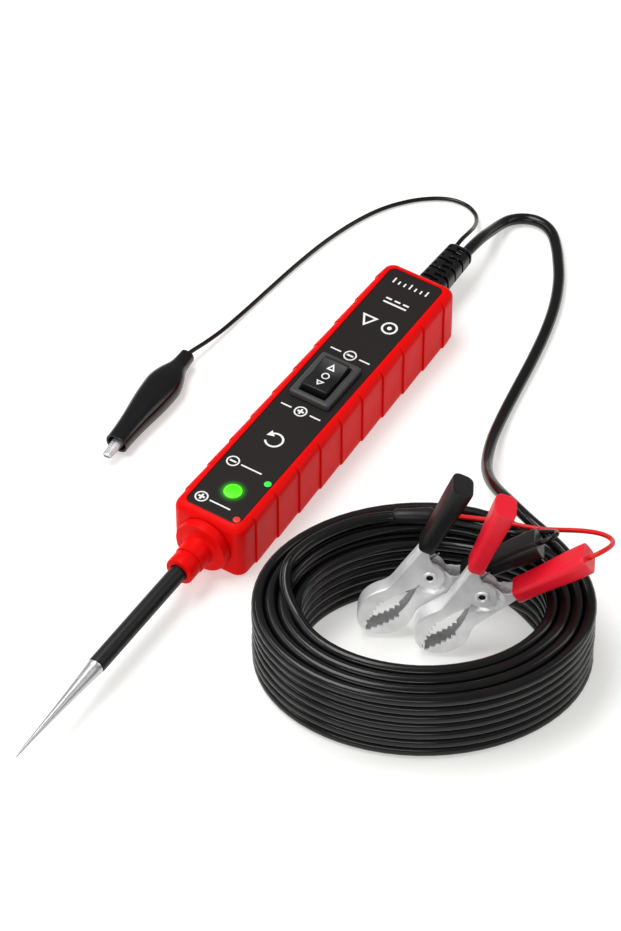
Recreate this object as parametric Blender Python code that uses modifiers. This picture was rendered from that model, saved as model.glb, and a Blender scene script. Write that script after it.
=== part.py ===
"""Automotive test light: a powered circuit tester for 12 and 24 volt vehicles.

A red ribbed handle with a black face panel, a rocker switch, three lamps and a steel probe. A moulded
strain relief lets out a thin ground lead with a booted clip, and a long black cord that is wound into a
coil and ends in two battery clamps. Metres, +Z up, +X towards the probe's tip, the handle on its back.
"""

import math

import bmesh
import bpy
from mathutils import Matrix, Vector

# Clearances
SEAT_GAP = 0.0003
RUNNING_GAP = 0.0003

# Handle casing
BODY_LENGTH = 0.131
BODY_WIDTH = 0.0265
BODY_HEIGHT = 0.0217
BODY_WALL = 0.0020
TOP_WALL = 0.0018
EDGE_RADIUS = 0.0030
BASE_RADIUS = 0.0014
END_RADIUS = 0.0026
GROOVE_COUNT = 10
GROOVE_FROM_REAR = 0.0084
GROOVE_FROM_FRONT = 0.0086
GRIP_FLARE = 0.0005
GRIP_STEP = 0.0005

# Face panel, set in a recess of the casing
PANEL_END_MARGIN = 0.0022
PANEL_SIDE_MARGIN = 0.0025
PANEL_RADIUS = 0.0025
PANEL_THICKNESS = 0.0007
PANEL_BELOW_RIM = 0.0002

# Casing screws, from below
SCREW_RADIUS = 0.0012
SCREW_HEAD_RADIUS = 0.0022
SCREW_HEAD_HEIGHT = 0.0012
SCREW_LENGTH = 0.0090
BOSS_RADIUS = 0.0028
SCREW_FROM_FRONT = 0.0300
SCREW_FROM_REAR = 0.0160
BOSS_WALL_GAP = 0.00045
COVER_THICKNESS = 0.0020

# Probe
CONE_LENGTH = 0.0430
CONE_RADIUS = 0.0027
TIP_RADIUS = 0.00035
ROD_RADIUS = 0.0018
ROD_INSIDE = 0.0240
SLEEVE_RADIUS = 0.0029
SLEEVE_EXPOSED = 0.0457
SLEEVE_SOCKET = 0.0040
COLLAR_RADIUS = 0.0049
COLLAR_LENGTH = 0.0120
COLLAR_GROOVE = 0.0003
FLANGE_RADIUS = 0.00935
FLANGE_THICKNESS = 0.0035
SPIGOT_RADIUS = 0.0052

# Rocker switch
SWITCH_FROM_FRONT = 0.0704
BEZEL_LENGTH = 0.0210
BEZEL_WIDTH = 0.0150
BEZEL_HEIGHT = 0.0020
SWITCH_BODY_LENGTH = 0.0192
SWITCH_BODY_WIDTH = 0.0129
SWITCH_BODY_DEPTH = 0.0100
SWITCH_WALL = 0.0009
ROCKER_WIDTH = 0.0104
ROCKER_DEPTH_BELOW_RIM = 0.0030
ROCKER_RISE = 0.0022
TRUNNION_RADIUS = 0.0012
TERMINAL_WIDTH = 0.0046
TERMINAL_THICKNESS = 0.0006
TERMINAL_LENGTH = 0.0080
TERMINAL_PITCH = 0.0055

# Lamps and board
MAIN_LAMP_RADIUS = 0.0030
MAIN_LAMP_FROM_FRONT = 0.0144
MAIN_LAMP_OFFSET = 0.0008
SMALL_LAMP_RADIUS = 0.0012
GREEN_LAMP_FROM_FRONT = 0.0229
RED_LAMP_FROM_FRONT = 0.0048
LAMP_FROM_SIDE = 0.00475
BOARD_LENGTH = 0.0225
BOARD_SIDE_GAP = 0.00075
BOARD_THICKNESS = 0.0016
BOARD_UNDERSIDE = 0.0135
BOARD_FROM_FRONT = 0.0027
POST_RADIUS = 0.0015
BREAKER_LENGTH = 0.0160
BREAKER_WIDTH = 0.0100
BREAKER_HEIGHT = 0.0080
BREAKER_FROM_FRONT = 0.0880

# Strain relief in the rear wall
RELIEF_LENGTH = 0.0250
RELIEF_WIDTH = 0.0104
RELIEF_HEIGHT = 0.0086
RELIEF_END_WIDTH = 0.0092
RELIEF_END_HEIGHT = 0.0066
RELIEF_NECK_INSET = 0.0006
RELIEF_FLANGE = 0.0013
RELIEF_RING_COUNT = 4
RELIEF_GROOVE = 0.0012
RELIEF_GROOVE_DEPTH = 0.0009

# Cords
CORD_DIAMETER = 0.0039
GROUND_LEAD_DIAMETER = 0.0015
CLAMP_LEAD_DIAMETER = 0.0016
CORD_EXIT_OFFSET = 0.0016
GROUND_EXIT_OFFSET = -0.0030
COIL_COLUMNS = 4
COIL_LAYERS = 7
COIL_HALF_WIDTH = 0.0535
COIL_HALF_DEPTH = 0.0414

# Battery clamps
CLAMP_NOSE = 0.0305
CLAMP_DEPTH = 0.0060
CLAMP_SHEET = 0.0007
HANDLE_ROOT = (-0.0055, 0.0076)
HANDLE_LENGTH = 0.0265
HANDLE_SLOPE = 18.0
HANDLE_HEIGHT = 0.0030
LUG_RADIUS = 0.0046
JAW_BOW = 0.0030
TOOTH_COUNT = 6
TOOTH_PITCH = 0.0020
TOOTH_DEPTH = 0.0009
CLAMP_RIVET_RADIUS = 0.0013
CLAMP_RIVET_BORE = 0.0008
CLAMP_RIVET_HEAD = 0.0022
SPRING_WIRE = 0.0006
SPRING_TURNS = 2.25
GRIP_START = 0.0015
GRIP_WALL = 0.0007
GRIP_END_WALL = 0.0012
GRIP_END_FLARE = 0.0006

# Ground clip
CLIP_JAW_REACH = 0.0245
CLIP_HANDLE_REACH = 0.0110
CLIP_WIDTH = 0.0034
CLIP_SHEET = 0.0004
CLIP_JAW_HEIGHT = 0.00135
CLIP_RIVET_RADIUS = 0.0006
BOOT_LENGTH = 0.0460
BOOT_WALL = 0.0008
BOOT_JAW_SHOW = 0.0065

# The cords lie in a floor layout that is turned about the strain relief's end
LAYOUT_TURN = 123.0
LAYOUT_RELIEF = (0.1488, 0.2101)
COIL_CENTRE = (0.1318, 0.0401)

PROBE_REACH = CONE_LENGTH + SLEEVE_EXPOSED + COLLAR_LENGTH + FLANGE_THICKNESS + SEAT_GAP
BODY_FRONT = (PROBE_REACH + BODY_LENGTH + RELIEF_LENGTH) / 2 - PROBE_REACH
BODY_REAR = BODY_FRONT - BODY_LENGTH
AXIS_HEIGHT = BODY_HEIGHT / 2
PANEL_RECESS = PANEL_THICKNESS + PANEL_BELOW_RIM + SEAT_GAP
CAVITY_TOP = BODY_HEIGHT - PANEL_RECESS - TOP_WALL
PANEL_TOP = BODY_HEIGHT - PANEL_BELOW_RIM
GROOVE_PITCH = (BODY_LENGTH - GROOVE_FROM_REAR - GROOVE_FROM_FRONT) / (GROOVE_COUNT - 1)
SCREW_OFFSET = BODY_WIDTH / 2 - BODY_WALL - BOSS_RADIUS - BOSS_WALL_GAP
SMALL_LAMP_OFFSET = BODY_WIDTH / 2 - LAMP_FROM_SIDE
BOARD_WIDTH = BODY_WIDTH - 2 * BODY_WALL - 2 * BOARD_SIDE_GAP
OVERCUT = 0.0005


# Scene and materials

def clear_scene():
    for obj in list(bpy.data.objects):
        bpy.data.objects.remove(obj, do_unlink=True)


def collection(name):
    group = bpy.data.collections.new(name)
    bpy.context.scene.collection.children.link(group)
    return group


def material(name, colour, roughness, metallic=0.0):
    made = bpy.data.materials.new(name)
    made.use_nodes = True
    shader = made.node_tree.nodes["Principled BSDF"]
    shader.inputs["Base Color"].default_value = (*colour, 1.0)
    shader.inputs["Roughness"].default_value = roughness
    shader.inputs["Metallic"].default_value = metallic
    return made


clear_scene()
PARTS = collection("automotive_test_light")
CUTTERS = collection("cutters")

RED_PLASTIC = material("red_plastic", (0.72, 0.02, 0.02), 0.35)
BLACK_PLASTIC = material("black_plastic", (0.02, 0.018, 0.018), 0.45)
PANEL_BLACK = material("panel_black", (0.03, 0.026, 0.026), 0.4)
SWITCH_GREY = material("switch_grey", (0.06, 0.06, 0.065), 0.4)
STEEL = material("steel", (0.75, 0.75, 0.76), 0.25, 1.0)
NICKEL = material("nickel", (0.8, 0.8, 0.8), 0.22, 1.0)
BRASS = material("brass", (0.78, 0.6, 0.28), 0.3, 1.0)
CORD_BLACK = material("cord_black", (0.015, 0.015, 0.015), 0.35)
VINYL_RED = material("vinyl_red", (0.75, 0.01, 0.03), 0.35)
LEAD_RED = material("lead_red", (0.8, 0.03, 0.02), 0.4)
LAMP_GREEN = material("lamp_green", (0.15, 0.9, 0.05), 0.2)
LAMP_RED = material("lamp_red", (0.8, 0.08, 0.04), 0.25)
BOARD_GREEN = material("board_green", (0.03, 0.25, 0.09), 0.5)


# Building blocks

def add_object(name, mesh, finish, group=PARTS):
    obj = bpy.data.objects.new(name, mesh)
    group.objects.link(obj)
    if finish is not None:
        mesh.materials.clear()
        mesh.materials.append(finish)
    return obj


def mesh_from(shape, name):
    bmesh.ops.recalc_face_normals(shape, faces=shape.faces)
    mesh = bpy.data.meshes.new(name)
    shape.to_mesh(mesh)
    shape.free()
    return mesh


def box(name, low, high, finish=None, group=PARTS):
    """A box between two corners."""
    size = [high[i] - low[i] for i in range(3)]
    middle = [(high[i] + low[i]) / 2 for i in range(3)]
    shape = bmesh.new()
    bmesh.ops.create_cube(shape, size=1.0, matrix=Matrix.Translation(middle) @ Matrix.Diagonal((*size, 1.0)))
    return add_object(name, mesh_from(shape, name), finish, group)


def cylinders(name, centres, radius, low, high, finish=None, group=PARTS, sides=20, top_radius=None):
    """Upright cylinders, or cones, of one size, that share an object."""
    shape = bmesh.new()
    for x, y in centres:
        bmesh.ops.create_cone(
            shape, cap_ends=True, segments=sides, radius1=radius,
            radius2=radius if top_radius is None else top_radius, depth=high - low,
            matrix=Matrix.Translation((x, y, (low + high) / 2)))
    return add_object(name, mesh_from(shape, name), finish, group)


def evaluated_mesh(obj, name):
    bpy.context.view_layer.update()
    graph = bpy.context.evaluated_depsgraph_get()
    return bpy.data.meshes.new_from_object(obj.evaluated_get(graph), depsgraph=graph)


def as_mesh(obj, finish=None, group=PARTS):
    """Replaces a curve, or an object with modifiers, by the closed mesh that it makes."""
    name = obj.name
    mesh = evaluated_mesh(obj, name)
    shape = bmesh.new()
    shape.from_mesh(mesh)
    bmesh.ops.remove_doubles(shape, verts=shape.verts, dist=0.000002)
    matrix = obj.matrix_world.copy()
    bpy.data.objects.remove(obj, do_unlink=True)
    solid = add_object(name, mesh_from(shape, name), finish, group)
    solid.matrix_world = matrix
    return solid


def plate(name, outline, low, high, finish=None, group=PARTS):
    """A flat outline, as a filled 2D curve, extruded from low to high."""
    curve = bpy.data.curves.new(name, "CURVE")
    curve.dimensions = "2D"
    curve.fill_mode = "BOTH"
    curve.extrude = (high - low) / 2
    spline = curve.splines.new("POLY")
    spline.points.add(len(outline) - 1)
    for point, (x, y) in zip(spline.points, outline):
        point.co = (x, y, 0.0, 1.0)
    spline.use_cyclic_u = True
    obj = bpy.data.objects.new(name, curve)
    group.objects.link(obj)
    solid = as_mesh(obj, finish, group)
    solid.data.transform(Matrix.Translation((0, 0, (low + high) / 2)))
    return solid


def turned(name, profile, finish=None, group=PARTS, steps=24, closed=False):
    """A profile of (radius, height) points, outer side first from top to bottom, turned about Z."""
    mesh = bpy.data.meshes.new(name)
    count = len(profile)
    edges = [(i, i + 1) for i in range(count - 1)] + ([(count - 1, 0)] if closed else [])
    mesh.from_pydata([(radius, 0.0, height) for radius, height in profile], edges, [])
    obj = add_object(name, mesh, None, group)
    screw = obj.modifiers.new("turn", "SCREW")
    screw.axis = "Z"
    screw.steps = steps
    screw.render_steps = steps
    screw.use_merge_vertices = True
    screw.merge_threshold = 0.00001
    return as_mesh(obj, finish, group)


def smooth_route(points, count, square_start=False, square_end=False):
    """Points at even spacing on a Catmull-Rom curve through the route's own points.

    A square end keeps the route's first or last span, so that the tube's cap is square to it.
    """
    first = [Vector(points[0])] if square_start else []
    last = [Vector(points[-1])] if square_end else []
    spots = [Vector(p) for p in points[len(first):len(points) - len(last)]]
    spots = [2 * spots[0] - spots[1]] + spots + [2 * spots[-1] - spots[-2]]
    fine = []
    for i in range(1, len(spots) - 2):
        a, b, c, d = spots[i - 1:i + 3]
        for step in range(12):
            t = step / 12
            fine.append(0.5 * ((2 * b) + (c - a) * t + (2 * a - 5 * b + 4 * c - d) * t * t
                               + (3 * b - a - 3 * c + d) * t * t * t))
    fine.append(spots[-2])
    lengths = [0.0]
    for i in range(1, len(fine)):
        lengths.append(lengths[-1] + (fine[i] - fine[i - 1]).length)
    route = []
    i = 0
    for k in range(count):
        target = lengths[-1] * k / (count - 1)
        while i < len(lengths) - 2 and lengths[i + 1] < target:
            i += 1
        share = (target - lengths[i]) / max(lengths[i + 1] - lengths[i], 1e-9)
        route.append(fine[i].lerp(fine[i + 1], min(share, 1.0)))
    return first + route + last


def tube(name, points, diameter, finish, resolution=2, parent=None):
    """A round tube along a poly line, as a bevelled curve with filled caps."""
    curve = bpy.data.curves.new(name, "CURVE")
    curve.dimensions = "3D"
    curve.bevel_depth = diameter / 2
    curve.bevel_resolution = resolution
    curve.use_fill_caps = True
    spline = curve.splines.new("POLY")
    spline.points.add(len(points) - 1)
    for point, co in zip(spline.points, points):
        point.co = (*co, 1.0)
    obj = bpy.data.objects.new(name, curve)
    PARTS.objects.link(obj)
    solid = as_mesh(obj, finish)
    if parent is not None:
        solid.parent = parent
    return solid


def loft(name, rings, finish=None, group=PARTS):
    """A skin through rings of equally many points, closed at both ends."""
    shape = bmesh.new()
    rows = [[shape.verts.new(point) for point in ring] for ring in rings]
    count = len(rings[0])
    for lower, upper in zip(rows, rows[1:]):
        for i in range(count):
            j = (i + 1) % count
            shape.faces.new((lower[i], lower[j], upper[j], upper[i]))
    shape.faces.new(rows[0])
    shape.faces.new(rows[-1])
    return add_object(name, mesh_from(shape, name), finish, group)


def boolean(target, tool, operation):
    """A live Boolean; the tool becomes a hidden cutter."""
    step = target.modifiers.new(operation.lower() + "_" + tool.name, "BOOLEAN")
    step.operation = operation
    step.solver = "EXACT"
    step.object = tool
    tool.hide_render = True
    tool.display_type = "WIRE"
    return target


def cut(target, tool):
    return boolean(target, tool, "DIFFERENCE")


def join(target, tool):
    return boolean(target, tool, "UNION")


def chamfer(obj, width, segments=2, angle=40.0):
    step = obj.modifiers.new("edges", "BEVEL")
    step.width = width
    step.segments = segments
    step.limit_method = "ANGLE"
    step.angle_limit = math.radians(angle)
    return obj


def smooth(obj, angle=35.0):
    if obj.type == "MESH":
        obj.data.shade_smooth()
        obj.data.set_sharp_from_angle(angle=math.radians(angle))
    return obj


def arc(centre, radius, start, end, steps):
    """Points on an arc, angles in degrees."""
    points = []
    for i in range(steps + 1):
        angle = math.radians(start + (end - start) * i / steps)
        points.append((centre[0] + radius * math.cos(angle), centre[1] + radius * math.sin(angle)))
    return points


def rounded_rectangle(low, high, radius, steps=4):
    corners = ((high[0] - radius, high[1] - radius, 0), (low[0] + radius, high[1] - radius, 90),
               (low[0] + radius, low[1] + radius, 180), (high[0] - radius, low[1] + radius, 270))
    outline = []
    for x, y, start in corners:
        outline += arc((x, y), radius, start, start + 90, steps)
    return outline


def offset_line(points, distance):
    """An open line moved sideways, to the left of its direction."""
    moved = []
    for i, (x, y) in enumerate(points):
        before = points[max(i - 1, 0)]
        after = points[min(i + 1, len(points) - 1)]
        along = Vector((after[0] - before[0], after[1] - before[1])).normalized()
        moved.append((x - along.y * distance, y + along.x * distance))
    return moved


def lie_along_x(obj, x, y, z):
    """Turns a piece made upright so that its top points to the probe's tip."""
    obj.rotation_euler = (0.0, math.pi / 2, 0.0)
    obj.location = (x, y, z)
    return obj


def from_front(distance):
    return BODY_FRONT - distance


# Handle casing

def grip_stations():
    """(x, flare, inset) along the casing from its rear end: rounded ends, and a flare on each segment."""
    quarter = [math.radians(a) for a in (0, 30, 60, 90)]
    stations = [(END_RADIUS * (1 - math.cos(a)), 0.0, END_RADIUS * (1 - math.sin(a))) for a in quarter]
    for k in range(GROOVE_COUNT):
        x = GROOVE_FROM_REAR + k * GROOVE_PITCH
        stations.append((x, GRIP_FLARE, 0.0))
        stations.append((x + GRIP_STEP, 0.0, 0.0))
    stations += [(BODY_LENGTH - x, 0.0, inset) for x, flare, inset in reversed(stations[:len(quarter)])]
    return stations


def casing_section(flare, inset):
    """(y, z) points of the casing's cross section."""
    half = BODY_WIDTH / 2 + flare - inset
    top = BODY_HEIGHT - inset
    base = inset * 0.5
    top_radius = max(EDGE_RADIUS - inset * 0.5, OVERCUT)
    base_radius = max(BASE_RADIUS - inset * 0.3, OVERCUT)
    points = arc((half - base_radius, base + base_radius), base_radius, -90, 0, 2)
    points += arc((half - top_radius, top - top_radius), top_radius, 0, 90, 4)
    points += arc((top_radius - half, top - top_radius), top_radius, 90, 180, 4)
    points += arc((base_radius - half, base + base_radius), base_radius, 180, 270, 2)
    return points


def screw_places():
    return [(x, y) for x in (from_front(SCREW_FROM_FRONT), BODY_REAR + SCREW_FROM_REAR)
            for y in (-SCREW_OFFSET, SCREW_OFFSET)]


def panel_outline(shrink):
    return rounded_rectangle(
        (BODY_REAR + PANEL_END_MARGIN + shrink, PANEL_SIDE_MARGIN - BODY_WIDTH / 2 + shrink),
        (BODY_FRONT - PANEL_END_MARGIN - shrink, BODY_WIDTH / 2 - PANEL_SIDE_MARGIN - shrink),
        PANEL_RADIUS - shrink)


def lamp_places():
    return (("main_lamp", from_front(MAIN_LAMP_FROM_FRONT), MAIN_LAMP_OFFSET, MAIN_LAMP_RADIUS),
            ("green_lamp", from_front(GREEN_LAMP_FROM_FRONT), SMALL_LAMP_OFFSET, SMALL_LAMP_RADIUS),
            ("red_lamp", from_front(RED_LAMP_FROM_FRONT), SMALL_LAMP_OFFSET, SMALL_LAMP_RADIUS))


def face_holes(name, low, high):
    """One cutter with the switch's and the lamps' holes."""
    shape = bmesh.new()
    size = (SWITCH_BODY_LENGTH + 2 * SEAT_GAP, SWITCH_BODY_WIDTH + 2 * SEAT_GAP, high - low)
    place = Matrix.Translation((from_front(SWITCH_FROM_FRONT), 0.0, (low + high) / 2))
    bmesh.ops.create_cube(shape, size=1.0, matrix=place @ Matrix.Diagonal((*size, 1.0)))
    for lamp, x, y, radius in lamp_places():
        bmesh.ops.create_cone(
            shape, cap_ends=True, segments=20, radius1=radius + SEAT_GAP, radius2=radius + SEAT_GAP,
            depth=high - low, matrix=Matrix.Translation((x, y, (low + high) / 2)))
    return add_object(name, mesh_from(shape, name), None, CUTTERS)


def housing():
    """The red casing: a ribbed shell that is open below, with four screw bosses."""
    rings = [[(BODY_REAR + x, y, z) for y, z in casing_section(flare, inset)]
             for x, flare, inset in grip_stations()]
    shell = loft("housing", rings, RED_PLASTIC)
    half = BODY_WIDTH / 2 - BODY_WALL
    cut(shell, box("casing_cavity", (BODY_REAR + BODY_WALL, -half, -OVERCUT),
                   (BODY_FRONT - BODY_WALL, half, CAVITY_TOP), None, CUTTERS))
    boss_foot = COVER_THICKNESS + SEAT_GAP
    join(shell, cylinders("casing_bosses", screw_places(), BOSS_RADIUS, boss_foot,
                          CAVITY_TOP + OVERCUT, None, CUTTERS, sides=16))
    cut(shell, cylinders("boss_pilots", screw_places(), SCREW_RADIUS + SEAT_GAP, boss_foot - OVERCUT,
                         SCREW_LENGTH + SEAT_GAP, None, CUTTERS, sides=16))
    cut(shell, plate("panel_recess", panel_outline(0.0), BODY_HEIGHT - PANEL_RECESS,
                     BODY_HEIGHT + OVERCUT, None, CUTTERS))
    cut(shell, face_holes("casing_face_holes", CAVITY_TOP - OVERCUT, BODY_HEIGHT))
    nose = cylinders("nose_hole", [(0.0, 0.0)], SPIGOT_RADIUS + SEAT_GAP, -2 * BODY_WALL,
                     OVERCUT, None, CUTTERS, sides=28)
    cut(shell, lie_along_x(nose, BODY_FRONT, 0.0, AXIS_HEIGHT))
    neck = [RELIEF_WIDTH / 2 - RELIEF_NECK_INSET + SEAT_GAP, RELIEF_HEIGHT / 2 - RELIEF_NECK_INSET + SEAT_GAP]
    cut(shell, box("relief_hole", (BODY_REAR - OVERCUT, -neck[0], AXIS_HEIGHT - neck[1]),
                   (BODY_REAR + 2 * BODY_WALL, neck[0], AXIS_HEIGHT + neck[1]), None, CUTTERS))
    return smooth(shell, 25.0)


def bottom_cover():
    """The plate that closes the casing below, with posts for the board and a cradle for the rod."""
    half = BODY_WIDTH / 2 - BODY_WALL - SEAT_GAP
    low_x = BODY_REAR + BODY_WALL + SEAT_GAP
    high_x = BODY_FRONT - BODY_WALL - SEAT_GAP
    cover = box("bottom_cover", (low_x, -half, 0.0), (high_x, half, COVER_THICKNESS), RED_PLASTIC)
    board_x = (from_front(BOARD_FROM_FRONT + POST_RADIUS + OVERCUT),
               from_front(BOARD_FROM_FRONT + BOARD_LENGTH - POST_RADIUS - OVERCUT))
    board_y = BOARD_WIDTH / 2 - POST_RADIUS
    join(cover, cylinders("board_posts", [(x, y) for x in board_x for y in (-board_y, board_y)],
                          POST_RADIUS, COVER_THICKNESS / 2, BOARD_UNDERSIDE - SEAT_GAP, None, CUTTERS,
                          sides=12))
    cradle_x = from_front(ROD_INSIDE - BODY_WALL)
    join(cover, box("rod_cradle", (cradle_x - BODY_WALL / 2, -2 * ROD_RADIUS, COVER_THICKNESS / 2),
                    (cradle_x + BODY_WALL / 2, 2 * ROD_RADIUS, AXIS_HEIGHT - ROD_RADIUS - SEAT_GAP),
                    None, CUTTERS))
    cut(cover, cylinders("cover_holes", screw_places(), SCREW_RADIUS + SEAT_GAP, -OVERCUT,
                         COVER_THICKNESS + OVERCUT, None, CUTTERS, sides=16))
    cut(cover, cylinders("cover_sinks", screw_places(), SCREW_HEAD_RADIUS + SEAT_GAP, -OVERCUT,
                         SCREW_HEAD_HEIGHT + SEAT_GAP, None, CUTTERS, sides=20))
    return cover


def cover_screws():
    """Four cross-head screws, heads flush in the cover."""
    for number, (x, y) in enumerate(screw_places(), 1):
        profile = [(0.0, SCREW_LENGTH), (SCREW_RADIUS * 0.5, SCREW_LENGTH),
                   (SCREW_RADIUS, SCREW_LENGTH - SCREW_RADIUS), (SCREW_RADIUS, SCREW_HEAD_HEIGHT),
                   (SCREW_HEAD_RADIUS, SCREW_HEAD_HEIGHT), (SCREW_HEAD_RADIUS, SEAT_GAP),
                   (0.0, SEAT_GAP)]
        screw = turned("cover_screw_%d" % number, profile, STEEL, steps=16)
        arm = SCREW_HEAD_RADIUS * 0.65
        slot = SCREW_HEAD_RADIUS * 0.14
        end = slot * 0.8
        cross = [(slot, slot), (end, arm), (-end, arm), (-slot, slot), (-arm, end), (-arm, -end),
                 (-slot, -slot), (-end, -arm), (end, -arm), (slot, -slot), (arm, -end), (arm, end)]
        recess = plate("screw_cross_%d" % number, cross, -OVERCUT, SCREW_HEAD_HEIGHT * 0.75, None, CUTTERS)
        recess.location = (x, y, 0.0)
        screw.location = (x, y, 0.0)
        cut(screw, recess)


def face_panel():
    """The black face panel, a thin plate that lies in the casing's recess."""
    low = PANEL_TOP - PANEL_THICKNESS
    panel = plate("face_panel", panel_outline(SEAT_GAP), low, PANEL_TOP, PANEL_BLACK)
    return cut(panel, face_holes("panel_holes", low - OVERCUT, PANEL_TOP + OVERCUT))


# Probe

def probe():
    """Steel rod with its turned cone, the black sleeve on it, and the red nose cap that holds both."""
    nose_face = BODY_FRONT + SEAT_GAP + FLANGE_THICKNESS + COLLAR_LENGTH
    sleeve_end = nose_face + SLEEVE_EXPOSED
    inside = nose_face - BODY_FRONT + ROD_INSIDE
    rod_profile = [(0.0, SLEEVE_EXPOSED + CONE_LENGTH), (TIP_RADIUS, SLEEVE_EXPOSED + CONE_LENGTH)]
    for share, swell in ((0.96, 0.00040), (0.72, 0.00035), (0.42, 0.00020), (0.1, 0.0)):
        radius = TIP_RADIUS + (CONE_RADIUS - TIP_RADIUS) * (1 - share) - swell * share * 0.5
        rod_profile.append((max(radius, TIP_RADIUS), SLEEVE_EXPOSED + SEAT_GAP + CONE_LENGTH * share))
    rod_profile += [(CONE_RADIUS, SLEEVE_EXPOSED + SEAT_GAP + 0.0012), (CONE_RADIUS, SLEEVE_EXPOSED + SEAT_GAP),
                    (ROD_RADIUS, SLEEVE_EXPOSED + SEAT_GAP), (ROD_RADIUS, -inside), (0.0, -inside)]
    rod = turned("probe_rod", rod_profile, STEEL, steps=24)
    lie_along_x(rod, nose_face, 0.0, AXIS_HEIGHT)
    bore = ROD_RADIUS + SEAT_GAP
    sleeve = turned("probe_sleeve", [(SLEEVE_RADIUS - 0.0003, SLEEVE_EXPOSED),
                                     (SLEEVE_RADIUS, SLEEVE_EXPOSED - 0.0003),
                                     (SLEEVE_RADIUS, SEAT_GAP - SLEEVE_SOCKET), (bore, SEAT_GAP - SLEEVE_SOCKET),
                                     (bore, SLEEVE_EXPOSED)], BLACK_PLASTIC, steps=24, closed=True)
    lie_along_x(sleeve, nose_face, 0.0, AXIS_HEIGHT)
    socket = SLEEVE_RADIUS + SEAT_GAP
    middle = -COLLAR_LENGTH * 0.45
    flange = -COLLAR_LENGTH
    back = flange - FLANGE_THICKNESS
    spigot = back - BODY_WALL - 2 * SEAT_GAP
    edge = 0.0005
    cap_profile = [
        (COLLAR_RADIUS - edge, 0.0), (COLLAR_RADIUS, -edge), (COLLAR_RADIUS, middle),
        (COLLAR_RADIUS - COLLAR_GROOVE, middle - COLLAR_GROOVE),
        (COLLAR_RADIUS + COLLAR_GROOVE, middle - 2 * COLLAR_GROOVE),
        (COLLAR_RADIUS + COLLAR_GROOVE, flange + edge), (COLLAR_RADIUS + 2 * edge, flange),
        (FLANGE_RADIUS - edge, flange), (FLANGE_RADIUS, flange - edge), (FLANGE_RADIUS, back),
        (SPIGOT_RADIUS, back), (SPIGOT_RADIUS, spigot), (bore, spigot), (bore, -SLEEVE_SOCKET),
        (socket, -SLEEVE_SOCKET), (socket, 0.0)]
    cap = turned("nose_cap", cap_profile, RED_PLASTIC, steps=28, closed=True)
    lie_along_x(cap, nose_face, 0.0, AXIS_HEIGHT)
    for piece in (rod, sleeve, cap):
        smooth(piece)


# Rocker switch

def pivot_height():
    return PANEL_TOP + SEAT_GAP + BEZEL_HEIGHT - ROCKER_DEPTH_BELOW_RIM


def switch_frame():
    """The switch's body and bezel, open above for the rocker and slotted below for the terminals."""
    x = from_front(SWITCH_FROM_FRONT)
    base = PANEL_TOP + SEAT_GAP
    top = base + BEZEL_HEIGHT
    frame = box("switch_frame", (x - BEZEL_LENGTH / 2, -BEZEL_WIDTH / 2, base),
                (x + BEZEL_LENGTH / 2, BEZEL_WIDTH / 2, top), SWITCH_GREY)
    chamfer(frame, 0.0007)
    half = (SWITCH_BODY_LENGTH / 2, SWITCH_BODY_WIDTH / 2)
    join(frame, box("switch_body", (x - half[0], -half[1], base - SWITCH_BODY_DEPTH),
                    (x + half[0], half[1], base + BEZEL_HEIGHT / 2), None, CUTTERS))
    well = (half[0] - SWITCH_WALL, ROCKER_WIDTH / 2 + RUNNING_GAP)
    cut(frame, box("rocker_well", (x - well[0], -well[1], base - SWITCH_BODY_DEPTH + 1.5 * SWITCH_WALL),
                   (x + well[0], well[1], top + OVERCUT), None, CUTTERS))
    pins = cylinders("trunnion_holes", [(0.0, 0.0)], TRUNNION_RADIUS + RUNNING_GAP, -half[1] - OVERCUT,
                     half[1] + OVERCUT, None, CUTTERS, sides=16)
    pins.rotation_euler = (math.pi / 2, 0.0, 0.0)
    pins.location = (x, 0.0, pivot_height())
    cut(frame, pins)
    slots = bmesh.new()
    for k in (-1, 0, 1):
        size = (TERMINAL_THICKNESS + 2 * SEAT_GAP, TERMINAL_WIDTH + 2 * SEAT_GAP, 3 * SWITCH_WALL)
        place = Matrix.Translation((x + k * TERMINAL_PITCH, 0.0, base - SWITCH_BODY_DEPTH + SWITCH_WALL))
        bmesh.ops.create_cube(slots, size=1.0, matrix=place @ Matrix.Diagonal((*size, 1.0)))
    cut(frame, add_object("terminal_slots", mesh_from(slots, "terminal_slots"), None, CUTTERS))
    return frame


def switch_terminals():
    """Three brass blades through the switch's floor."""
    x = from_front(SWITCH_FROM_FRONT)
    floor = PANEL_TOP + SEAT_GAP - SWITCH_BODY_DEPTH + 1.5 * SWITCH_WALL
    for number, k in enumerate((-1, 0, 1), 1):
        box("switch_terminal_%d" % number,
            (x + k * TERMINAL_PITCH - TERMINAL_THICKNESS / 2, -TERMINAL_WIDTH / 2, floor + OVERCUT - TERMINAL_LENGTH),
            (x + k * TERMINAL_PITCH + TERMINAL_THICKNESS / 2, TERMINAL_WIDTH / 2, floor + OVERCUT), BRASS)


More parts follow.
